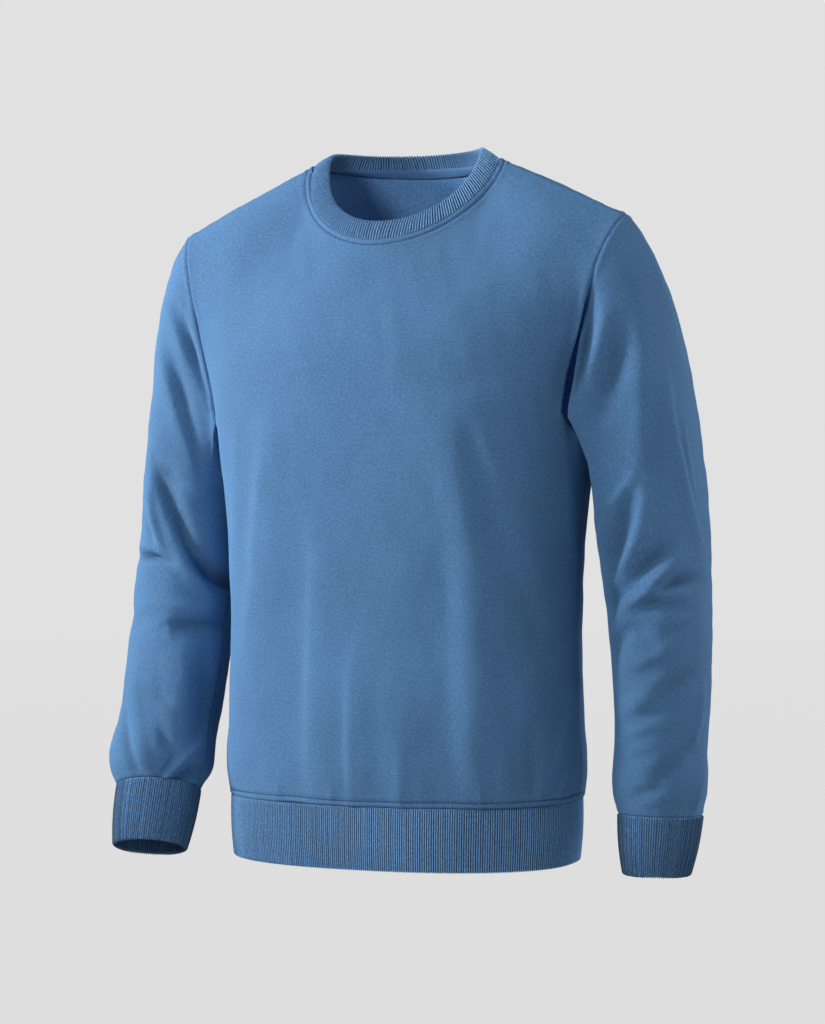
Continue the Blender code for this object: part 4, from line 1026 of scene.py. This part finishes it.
def build_rib_nodes():
    """Geometry Nodes that press the valleys of a rib knit into a plain band.

    The band's point attributes turn and firm say where a point is round the band, from 0
    to 1, and how deep the valleys are there. The nodes also store painted shade for the
    finish, deep in the valleys and milder on the unribbed cloth beside the seam.
    """
    tree = bpy.data.node_groups.new("rib_knit", "GeometryNodeTree")
    face = tree.interface
    face.new_socket("Band", in_out="INPUT", socket_type="NodeSocketGeometry")
    for name, kind in (("Ribs", "Int"), ("Relief", "Float"), ("Seed", "Int"), ("Finish", "Material")):
        face.new_socket(name, in_out="INPUT", socket_type="NodeSocket" + kind)
    face.new_socket("Band", in_out="OUTPUT", socket_type="NodeSocketGeometry")
    given = add_node(tree, "NodeGroupInput")
    varied = add_node(tree, "FunctionNodeRandomValue", {
        2: RIB_SHALLOWEST, 3: RIB_DEEPEST, "Seed": given.outputs["Seed"]}, data_type="FLOAT")
    known = {"varied": varied.outputs[1]}
    known.update(ribs=given.outputs["Ribs"], relief=given.outputs["Relief"])
    for label in ("turn", "firm"):
        mark = add_node(tree, "GeometryNodeInputNamedAttribute", {"Name": label}, data_type="FLOAT")
        known[label] = mark.outputs["Attribute"]
    for label, operation, *values in (
        ("count", "MULTIPLY", "turn", "ribs"),
        ("angle", "MULTIPLY", "count", math.pi),
        ("wave", "SINE", "angle"),
        ("crest", "ABSOLUTE", "wave"),
        ("round_crest", "POWER", "crest", RIB_ROUNDNESS),
        ("valley", "SUBTRACT", 1.0, "round_crest"),
        ("nearest", "ROUND", "count"),
        ("number", "MODULO", "nearest", "ribs"),
        ("beat", "MULTIPLY", "number", 2 * math.pi * RIB_BEAT),
        ("swing", "SINE", "beat"),
        ("uneven", "MULTIPLY_ADD", "swing", RIB_SWING, "varied"),
        ("depth", "MULTIPLY", "valley", "uneven"),
        ("held", "MULTIPLY", "depth", "firm"),
        ("scaled", "MULTIPLY", "held", "relief"),
        ("inward", "MULTIPLY", "scaled", -1.0),
        # Painted shade: the valleys darken, and the unribbed cloth beside the seam gets a milder painted
        # shade.
        ("plain", "MULTIPLY_ADD", "firm", -0.5, 0.5),
        ("rib_painted_shade", "ADD", "held", "plain"),
    ):
        sockets = {place: known.get(value, value) for place, value in enumerate(values)}
        known[label] = add_node(tree, "ShaderNodeMath", sockets, operation=operation).outputs[0]
    tree.links.new(known["number"], varied.inputs["ID"])
    normal = add_node(tree, "GeometryNodeInputNormal")
    offset = add_node(
        tree, "ShaderNodeVectorMath", {0: normal.outputs[0], "Scale": known["inward"]}, operation="SCALE")
    pressed = add_node(
        tree, "GeometryNodeSetPosition", {"Geometry": given.outputs["Band"], "Offset": offset.outputs[0]})
    # The painted shade goes to the finish as the sunk mark.
    marked = add_node(tree, "GeometryNodeStoreNamedAttribute", {
        "Geometry": pressed.outputs[0], "Name": "sunk_and_painted_shade", "Value": known["rib_painted_shade"],
    }, data_type="FLOAT", domain="POINT")
    whole = add_node(tree, "GeometryNodeRealizeInstances", {"Geometry": marked.outputs[0]})
    dressed = add_node(
        tree, "GeometryNodeSetMaterial", {"Geometry": whole.outputs[0], "Material": given.outputs["Finish"]})
    add_node(tree, "NodeGroupOutput", {"Band": dressed.outputs[0]})
    return tree


def worked(piece, tree, values):
    """Run a node tree on a piece with its named inputs set, and keep the plain mesh."""
    change = piece.modifiers.new(tree.name, "NODES")
    change.node_group = tree
    for item in tree.interface.items_tree:
        if item.item_type == "SOCKET" and item.in_out == "INPUT" and item.name in values:
            change[item.identifier] = values[item.name]
    bpy.context.view_layer.update()
    seen = piece.evaluated_get(bpy.context.evaluated_depsgraph_get())
    mesh = bpy.data.meshes.new_from_object(seen)
    piece.modifiers.remove(change)
    old = piece.data
    piece.data = mesh
    bpy.data.meshes.remove(old)
    mesh.name = piece.name
    return piece


def band_profile(height, wall, rows):
    """Section of a folded band: distance from its seam, depth under its face, and firmness."""
    half = wall / 2
    outer = spaced((0.0, height - half), (rows,), {0.0: (5.0, 0.0030)})
    firm = ease((outer + RIB_START) / RIB_RISE)
    bend = np.linspace(0.0, math.pi, EDGE_POINTS)[1:-1]
    inner = outer[::-2]
    along = np.concatenate([outer, height - half + half * np.sin(bend), inner])
    depth = np.concatenate([np.zeros(len(outer)), half - half * np.cos(bend), np.full(len(inner), wall)])
    firm = np.concatenate([firm, np.ones(len(bend)), firm[::-2] * RIB_INSIDE])
    return along, depth, firm


def band_piece(name, seam, edge, normals, ribs, wall, rows, bulge, finish, flipped, relief):
    """Closed wall of rib knit between a seam line and an open edge, with its ribs."""
    height = float(np.mean(np.linalg.norm(edge - seam, axis=1)))
    along, depth, firm = band_profile(height, wall, rows)
    share = (along / height)[:, None, None]
    swell = bulge * np.sin(math.pi * np.clip(share, 0.0, 1.0))
    tuck = -BAND_TUCK * SEAM_DEPTH * bell(along, SEAM_WIDTH)[:, None, None]
    tuck = tuck * (depth < wall / 2)[:, None, None]
    net = seam + (edge - seam) * share + normals * (swell + tuck - depth[:, None, None])
    points = net.reshape(-1, 3)
    index = np.arange(len(points)).reshape(net.shape[:2])
    index = np.concatenate([index, index[:1]])
    faces = net_faces(index, closed=True)
    if flipped:
        faces = faces[:, ::-1]
    piece = new_object(name, points, [], faces.tolist())
    count = net.shape[1]
    turn = np.tile(np.arange(count) / count, len(net))
    mark_points(piece.data, "turn", turn)
    mark_points(piece.data, "firm", np.repeat(firm, count))
    girth = float(np.sum(np.linalg.norm(np.diff(seam, axis=0), axis=1)))
    run = np.cumsum(np.abs(np.diff(along, prepend=0.0)))
    places = np.stack([turn * girth, np.repeat(run, count)], axis=-1)
    lay_flat(piece.data, places, faces, girth)
    piece.data.shade_smooth()
    piece.data.materials.append(finish)
    return worked(piece, rib_nodes, {"Ribs": ribs, "Relief": relief, "Seed": RIB_SEED, "Finish": finish})


def loop_length(line):
    """Length of a closed line of points."""
    closed = np.concatenate([line, line[:1]])
    return float(np.sum(np.linalg.norm(np.diff(closed, axis=0), axis=1)))


def even_loop(line, count):
    """Places evenly spaced by length along a closed line, as shares from 0 to 1."""
    closed = np.concatenate([line, line[:1]])
    length = np.concatenate(([0.0], np.cumsum(np.linalg.norm(np.diff(closed, axis=0), axis=1))))
    return np.interp(np.arange(count) / count, length / length[-1], np.arange(len(closed)) / len(line))


def turned_to(normals, towards):
    """Normals, each turned round where it points away from the given direction."""
    return normals * np.sign(np.sum(normals * towards, axis=1))[:, None]


# The rib is the same cotton without a brushed nap. Its blue is lighter than the fleece's:
# partly its own colour, and partly painted light that offsets the painted shade in its
# valleys and the dim light on the cuffs. Its valleys are narrow and deep, and painted
# shade leaves little of the tone in them, so the ribs stand out as fine stripes.
rib_nodes = build_rib_nodes()
rib_knit = cloth_finish(
    "cotton_rib_knit", dark=srgb("#6DA2D8"), light=srgb("#91C2F0"),
    wale=0.0011, course=0.0012, nap=0.0004, sheen=0.20, mottle=0.22, painted_shade_floor=0.07)


def hem_line(share):
    """Hem seam all round, from the wearer's right side across the front and back again."""
    share = np.asarray(share, float) * 4.0
    u = np.where(share <= 2.0, share - 1.0, 3.0 - share)
    front = body_point("front", u, HEM_SEAM)
    back = body_point("back", u, HEM_SEAM)
    return np.where((share <= 2.0)[..., None], front, back)


rough = hem_line(np.arange(720) / 720)
girth = loop_length(rough)
hem_ribs = round(girth / HEM_RIB_PITCH)
seam = hem_line(even_loop(rough, hem_ribs * RIB_COLUMNS))
edge = seam * np.array([HEM_BAND_TAPER, HEM_BAND_TAPER, 1.0]) - np.array([0.0, 0.0, HEM_BAND_HEIGHT])
ahead = np.roll(seam, -1, axis=0) - np.roll(seam, 1, axis=0)
normals = unit(np.cross(seam - edge, ahead))
normals = turned_to(normals, seam * LEVEL)
hem_band = band_piece(
    "hem_band_knit", seam, edge, normals, hem_ribs, wall=RIB_WALL, rows=12, bulge=0.0012,
    finish=rib_knit, flipped=True, relief=RIB_RELIEF)
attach(hem_band, ROOT)
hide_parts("hem_band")

# ================================================================ cuffs
# Each cuff is a short tube of the same rib, drawn in where it meets the sleeve and slightly
# tapered to its folded edge.

CUFF_RIB_PITCH = 0.0023


def cuff_end_point(side, angle):
    """Point of the cuff's open end."""
    _, outward, forward, _ = arm_frame(side, np.ones_like(angle))
    end = dict(zip(ARM_COLUMNS, CUFF_ENDS[side]))
    centre = np.array([SIDES[side] * end["out"], -end["fore"], end["height"]])
    return centre + ring_offset(angle, end, outward, forward)


for side in ("left", "right"):
    rough = arm_ring(side, ring_angle(side, np.arange(360) / 360), 1.0)
    girth = loop_length(rough)
    cuff_ribs = round(girth / CUFF_RIB_PITCH)
    angle = ring_angle(side, even_loop(rough, cuff_ribs * RIB_COLUMNS))
    seam = arm_ring(side, angle, 1.0)
    edge = cuff_end_point(side, angle)
    ahead = np.roll(seam, -1, axis=0) - np.roll(seam, 1, axis=0)
    normals = unit(np.cross(seam - edge, ahead))
    normals = turned_to(normals, seam - seam.mean(axis=0))
    cuff = band_piece(
        "cuff_%s_knit" % side, seam, edge, normals, cuff_ribs, wall=RIB_WALL, rows=14, bulge=0.0014,
        finish=rib_knit, flipped=side == "right", relief=RIB_RELIEF)
    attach(cuff, ROOT)
    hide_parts("cuff_" + side)

# ================================================================ neckband
# The neckband is a strip of the same rib, folded double lengthways and sewn in slightly
# stretched, so that it stands up at the back and leans in to a rounded rim.

NECK_RIM = {
    "front": (0.0820, 0.0540, 0.0145, -0.0626, 0.94, 1.38, 1.00),
    "back": (0.0820, 0.0520, 0.0145, 0.0160, 0.94, 1.38, 1.00),
}
NECK_RIB_PITCH = 0.0029
NECK_WALL = 0.0034
NECK_RELIEF = 0.0016
NECK_RIM_ROUND = 0.018
NECK_LEAN = np.array([0.0, 0.0, 0.05])


def neck_line(sizes, share):
    """Neck oval all round, from the wearer's right across the front and back again."""
    share = np.asarray(share, float) * 4.0
    q = np.where(share <= 2.0, share - 1.0, 3.0 - share)
    front = oval_point(sizes, "front", q)
    back = oval_point(sizes, "back", q)
    return np.where((share <= 2.0)[..., None], front, back)


def rounded(loop, spread):
    """Closed line of points smoothed by a bell of the given spread in points."""
    steps = np.arange(len(loop))
    steps = np.minimum(steps, len(loop) - steps)
    weights = np.exp(-0.5 * (steps / spread) ** 2)
    turns = np.fft.rfft(loop, axis=0) * np.fft.rfft(weights / weights.sum())[:, None]
    return np.fft.irfft(turns, n=len(loop), axis=0)


rough = neck_line(NECK_SEAM, np.arange(720) / 720)
girth = loop_length(rough)
neck_ribs = round(girth / NECK_RIB_PITCH)
places = even_loop(rough, neck_ribs * RIB_COLUMNS)
seam = neck_line(NECK_SEAM, places)
edge = rounded(neck_line(NECK_RIM, places), NECK_RIM_ROUND * len(places))
ahead = np.roll(seam, -1, axis=0) - np.roll(seam, 1, axis=0)
normals = unit(np.cross(ahead, edge - seam))
normals = turned_to(normals, seam * LEVEL + NECK_LEAN)
normals = unit(rounded(normals, 2 * NECK_RIM_ROUND * len(places)))
neckband = band_piece(
    "neckband_knit", seam, edge, normals, neck_ribs, wall=NECK_WALL, rows=12, bulge=0.0010,
    finish=rib_knit, flipped=False, relief=NECK_RELIEF)
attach(neckband, ROOT)
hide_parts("neckband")

# ================================================================ neck tape
# A strip of woven cotton tape covers the seam inside the back of the neck. It is folded
# smooth and stitched along its lower edge.

TAPE_WALL = 0.0010
TAPE_WIDTH = 0.0110
TAPE_TOP = -0.0016
TAPE_GAP = 0.0006
TAPE_SINK = -0.0009
TAPE_CROWN = 0.0009
TAPE_FULLNESS = 0.6
TAPE_COLUMNS = 120
TAPE_ROWS = 10
TAPE_STITCH_RISE = 0.0003
INTO_THE_NECK = np.array([0.0, -1.0, -0.3])

# The weave is laid out over 0.5 m, which is longer than the tape, so along the tape it is
# drawn finer than the pitch that its finish is given.
WEAVE_SPAN = 0.5

u = np.linspace(-NECK_SHARE, NECK_SHARE, TAPE_COLUMNS + 1)
depths = TAPE_TOP + TAPE_WIDTH * np.linspace(0.0, 1.0, TAPE_ROWS + 1)
top = chest_point("back", u, 1.0)
below = chest_point("back", u, 0.90)
fall = unit(below - top)
across = np.gradient(top, axis=0)
inward = unit(np.cross(across, fall))
inward = turned_to(inward, INTO_THE_NECK)
crown = TAPE_CROWN * np.sin(math.pi * np.linspace(0.0, 1.0, TAPE_ROWS + 1)) ** TAPE_FULLNESS
rest = TAPE_GAP + (TAPE_SINK - TAPE_GAP) * ease((depths - depths[0]) / TAPE_WIDTH)
lift = FLEECE_WALL + TAPE_WALL + (rest + crown)[:, None, None]
net = top + fall * depths[:, None, None] + inward * lift
points = net.reshape(-1, 3)
index = np.arange(len(points)).reshape(net.shape[:2])
faces = net_faces(index)
if np.mean(np.sum(point_normals(points, faces) * np.tile(inward, (TAPE_ROWS + 1, 1)), axis=1)) < 0.0:
    faces = faces[:, ::-1]
flat = np.stack([np.tile(u * WEAVE_SPAN, TAPE_ROWS + 1), np.repeat(depths, TAPE_COLUMNS + 1)], axis=-1)
tape_cotton = cloth_finish(
    "woven_cotton_tape", dark=srgb("#5482B6"), light=srgb("#6E9CCF"),
    wale=0.0008, course=0.0008, nap=0.0004, sheen=0.15, mottle=0.10, painted_shade_floor=0.36)
neck_tape = cloth_piece(
    "neck_tape_cloth", points, point_normals(points, faces), faces, flat, np.zeros(len(points)),
    TAPE_WALL, [tape_cotton])
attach(neck_tape, ROOT)
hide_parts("neck_tape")
tape_row = net[-2] + inward * TAPE_STITCH_RISE

# ================================================================ topstitching
# One row of spun polyester thread runs round the hem and one round the neck, 6 mm from the
# seam, and one holds the tape. Each stitch is a short plump loop that dives into the cloth. The
# thread is drawn 1.2 mm thick, about four times a real one, so that the rows can be seen.

THREAD_RADIUS = 0.00060
STITCH_LENGTH = 0.0018
PLY_SCALE = 900.0


def build_stitch_nodes():
    """Geometry Nodes that set one stitch at every pitch along a line of points."""
    tree = bpy.data.node_groups.new("topstitch", "GeometryNodeTree")
    face = tree.interface
    face.new_socket("Line", in_out="INPUT", socket_type="NodeSocketGeometry")
    for name, kind in (("Pitch", "Float"), ("Length", "Float"), ("Radius", "Float"), ("Finish", "Material")):
        face.new_socket(name, in_out="INPUT", socket_type="NodeSocket" + kind)
    face.new_socket("Stitches", in_out="OUTPUT", socket_type="NodeSocketGeometry")
    given = add_node(tree, "NodeGroupInput")
    curve = add_node(tree, "GeometryNodeMeshToCurve", {"Mesh": given.outputs["Line"]})
    even = add_node(tree, "GeometryNodeResampleCurve", {
        "Curve": curve.outputs[0], "Length": given.outputs["Pitch"]}, mode="LENGTH")
    tangent = add_node(tree, "GeometryNodeInputTangent")
    turned = add_node(
        tree, "FunctionNodeAlignRotationToVector", {"Vector": tangent.outputs[0]}, axis="X")
    bead = add_node(tree, "GeometryNodeMeshUVSphere", {"Segments": 6, "Rings": 5, "Radius": 1.0})
    half = add_node(tree, "ShaderNodeMath", {0: given.outputs["Length"], 1: 0.5}, operation="MULTIPLY")
    radius = given.outputs["Radius"]
    size = add_node(tree, "ShaderNodeCombineXYZ", {"X": half.outputs[0], "Y": radius, "Z": radius})
    stitch = add_node(
        tree, "GeometryNodeTransform", {"Geometry": bead.outputs[0], "Scale": size.outputs[0]})
    placed = add_node(tree, "GeometryNodeInstanceOnPoints", {
        "Points": even.outputs[0], "Instance": stitch.outputs[0], "Rotation": turned.outputs[0]})
    whole = add_node(tree, "GeometryNodeRealizeInstances", {"Geometry": placed.outputs[0]})
    soft = add_node(tree, "GeometryNodeSetShadeSmooth", {"Geometry": whole.outputs[0]})
    dressed = add_node(
        tree, "GeometryNodeSetMaterial", {"Geometry": soft.outputs[0], "Material": given.outputs["Finish"]})
    add_node(tree, "NodeGroupOutput", {"Stitches": dressed.outputs[0]})
    return tree


def thread_finish(name, colour):
    """Spun polyester thread: two plies twisted tight, with a faint silky shine."""
    finish, tree, shader = new_finish(name)
    place = add_node(tree, "ShaderNodeTexCoord").outputs["Object"]
    plies = add_node(tree, "ShaderNodeTexWave", {
        "Vector": place, "Scale": PLY_SCALE, "Distortion": 0.5}, bands_direction="DIAGONAL")
    ridge = add_node(
        tree, "ShaderNodeBump", {"Height": plies.outputs["Fac"], "Strength": 0.4, "Distance": 0.0002})
    tree.links.new(ridge.outputs["Normal"], shader.inputs["Normal"])
    shader.inputs["Base Color"].default_value = colour
    shader.inputs["Roughness"].default_value = 0.55
    shader.inputs["Sheen Weight"].default_value = 0.1
    return finish


stitch_nodes = build_stitch_nodes()
thread = thread_finish("spun_polyester_thread", srgb("#1E3A63"))
for name, line, panel, closed in (
    ("hem_stitches", hem_row, "front_panel", True),
    ("neck_stitches", neck_row, "front_panel", True),
    ("tape_stitches", tape_row, "neck_tape", False),
):
    links = [(k, k + 1) for k in range(len(line) - 1)]
    if closed:
        links.append((len(line) - 1, 0))
    stitches = new_object(name, line, links, [])
    worked(stitches, stitch_nodes, {
        "Pitch": STITCH_PITCH, "Length": STITCH_LENGTH, "Radius": THREAD_RADIUS, "Finish": thread})
    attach(stitches, ROOT)

# ================================================================ studio
# A pale seamless floor well below the garment, lit by four soft discs: a key and a weaker front
# light on the wearer's right, a weak fill in front, and an edge light beside the left arm. The
# lens is long and level with the middle of the garment.

VIEW_TURN = math.radians(25.0)
VIEW_DISTANCE = 2.10
VIEW_HEIGHT = -0.342
VIEW_OFFSET = 0.0078
VIEW_LENS = 75.3
FLOOR_HEIGHT = -1.15
FLOOR_RADIUS = 40.0
FADE_START = 2.0
FADE_END = 14.0
AIR_STRENGTH = 0.17
BACKDROP = srgb("#E1E1E1")
FLOOR_TONE = srgb("#DEDEDE")

scene = bpy.context.scene
scene.view_settings.view_transform = "Standard"
towards = np.array([math.sin(VIEW_TURN), -math.cos(VIEW_TURN), 0.0])
rightward = np.array([math.cos(VIEW_TURN), math.sin(VIEW_TURN), 0.0])
upward = np.array([0.0, 0.0, 1.0])
middle = np.array([0.0, 0.0, VIEW_HEIGHT])


def aimed(made, place, target):
    """Put a camera or light at a place, looking at a target."""
    scene.collection.objects.link(made)
    made.location = place
    made.rotation_mode = "QUATERNION"
    made.rotation_quaternion = Vector(target - place).to_track_quat("-Z", "Y")
    return made


lens = bpy.data.cameras.new("camera")
lens.lens = VIEW_LENS
lens.sensor_width = 36.0
stand = middle + rightward * VIEW_OFFSET + towards * VIEW_DISTANCE
camera = aimed(bpy.data.objects.new("camera", lens), stand, stand - towards)
scene.camera = camera

# Each light: how far right, towards the camera and up it stands, size, beam angle and watts.
LIGHT_COLUMNS = ("name", "right", "near", "up", "size", "spread", "power")
LIGHT_AIM = 0.08
LIGHTS = (
    ("key", -1.90, 0.05, 0.72, 0.55, 110.0, 18.2),
    ("front", -1.30, 1.40, 0.72, 0.80, 110.0, 6.1),
    ("fill", 1.20, 1.70, 0.50, 1.00, 110.0, 1.6),
    ("edge", 1.90, 0.00, 0.50, 1.20, 180.0, 19.0),
)
for row in LIGHTS:
    light = dict(zip(LIGHT_COLUMNS, row))
    lamp = bpy.data.lights.new(light["name"], "AREA")
    lamp.shape = "DISK"
    lamp.size = light["size"]
    lamp.energy = light["power"]
    lamp.spread = math.radians(light["spread"])
    place = middle + rightward * light["right"] + towards * light["near"] + upward * light["up"]
    aimed(bpy.data.objects.new(light["name"], lamp), place, middle + upward * LIGHT_AIM)



def by_ray(tree, hidden, seen):
    """Shader that the camera sees as one and every other ray meets as another."""
    ray = add_node(tree, "ShaderNodeLightPath").outputs["Is Camera Ray"]
    sockets = {0: ray, 1: hidden.outputs[0], 2: seen.outputs[0]}
    return add_node(tree, "ShaderNodeMixShader", sockets).outputs[0]


world = bpy.data.worlds.new("studio_air")
scene.world = world
world.use_nodes = True
air = world.node_tree
air.nodes.clear()
seen_air = add_node(air, "ShaderNodeBackground", {"Color": BACKDROP, "Strength": 1.0})
lit_air = add_node(air, "ShaderNodeBackground", {"Color": srgb("#E6ECF4"), "Strength": AIR_STRENGTH})
add_node(air, "ShaderNodeOutputWorld", {"Surface": by_ray(air, lit_air, seen_air)})

floor_finish = bpy.data.materials.new("pale_paper_floor")
floor_finish.use_nodes = True
paper = floor_finish.node_tree
paper.nodes.clear()
spot = add_node(paper, "ShaderNodeTexCoord").outputs["Object"]
away = add_node(paper, "ShaderNodeVectorMath", {0: spot}, operation="LENGTH").outputs["Value"]
fade = add_node(
    paper, "ShaderNodeMapRange", {"Value": away, "From Min": FADE_START, "From Max": FADE_END})
blend = {0: fade.outputs["Result"], 6: FLOOR_TONE, 7: BACKDROP}
tone = add_node(paper, "ShaderNodeMix", blend, data_type="RGBA")
glow = add_node(paper, "ShaderNodeEmission", {"Color": tone.outputs[2]})
dull = add_node(paper, "ShaderNodeBsdfDiffuse", {"Color": srgb("#B4B4B4")})
add_node(paper, "ShaderNodeOutputMaterial", {"Surface": by_ray(paper, dull, glow)})
turns = np.linspace(0.0, 2 * math.pi, 97)[:-1]
ring = np.stack([np.cos(turns), np.sin(turns), np.zeros(len(turns))], axis=-1) * FLOOR_RADIUS
floor = new_object("floor", ring + upward * FLOOR_HEIGHT, [], [list(range(len(ring)))])
floor.data.materials.append(floor_finish)
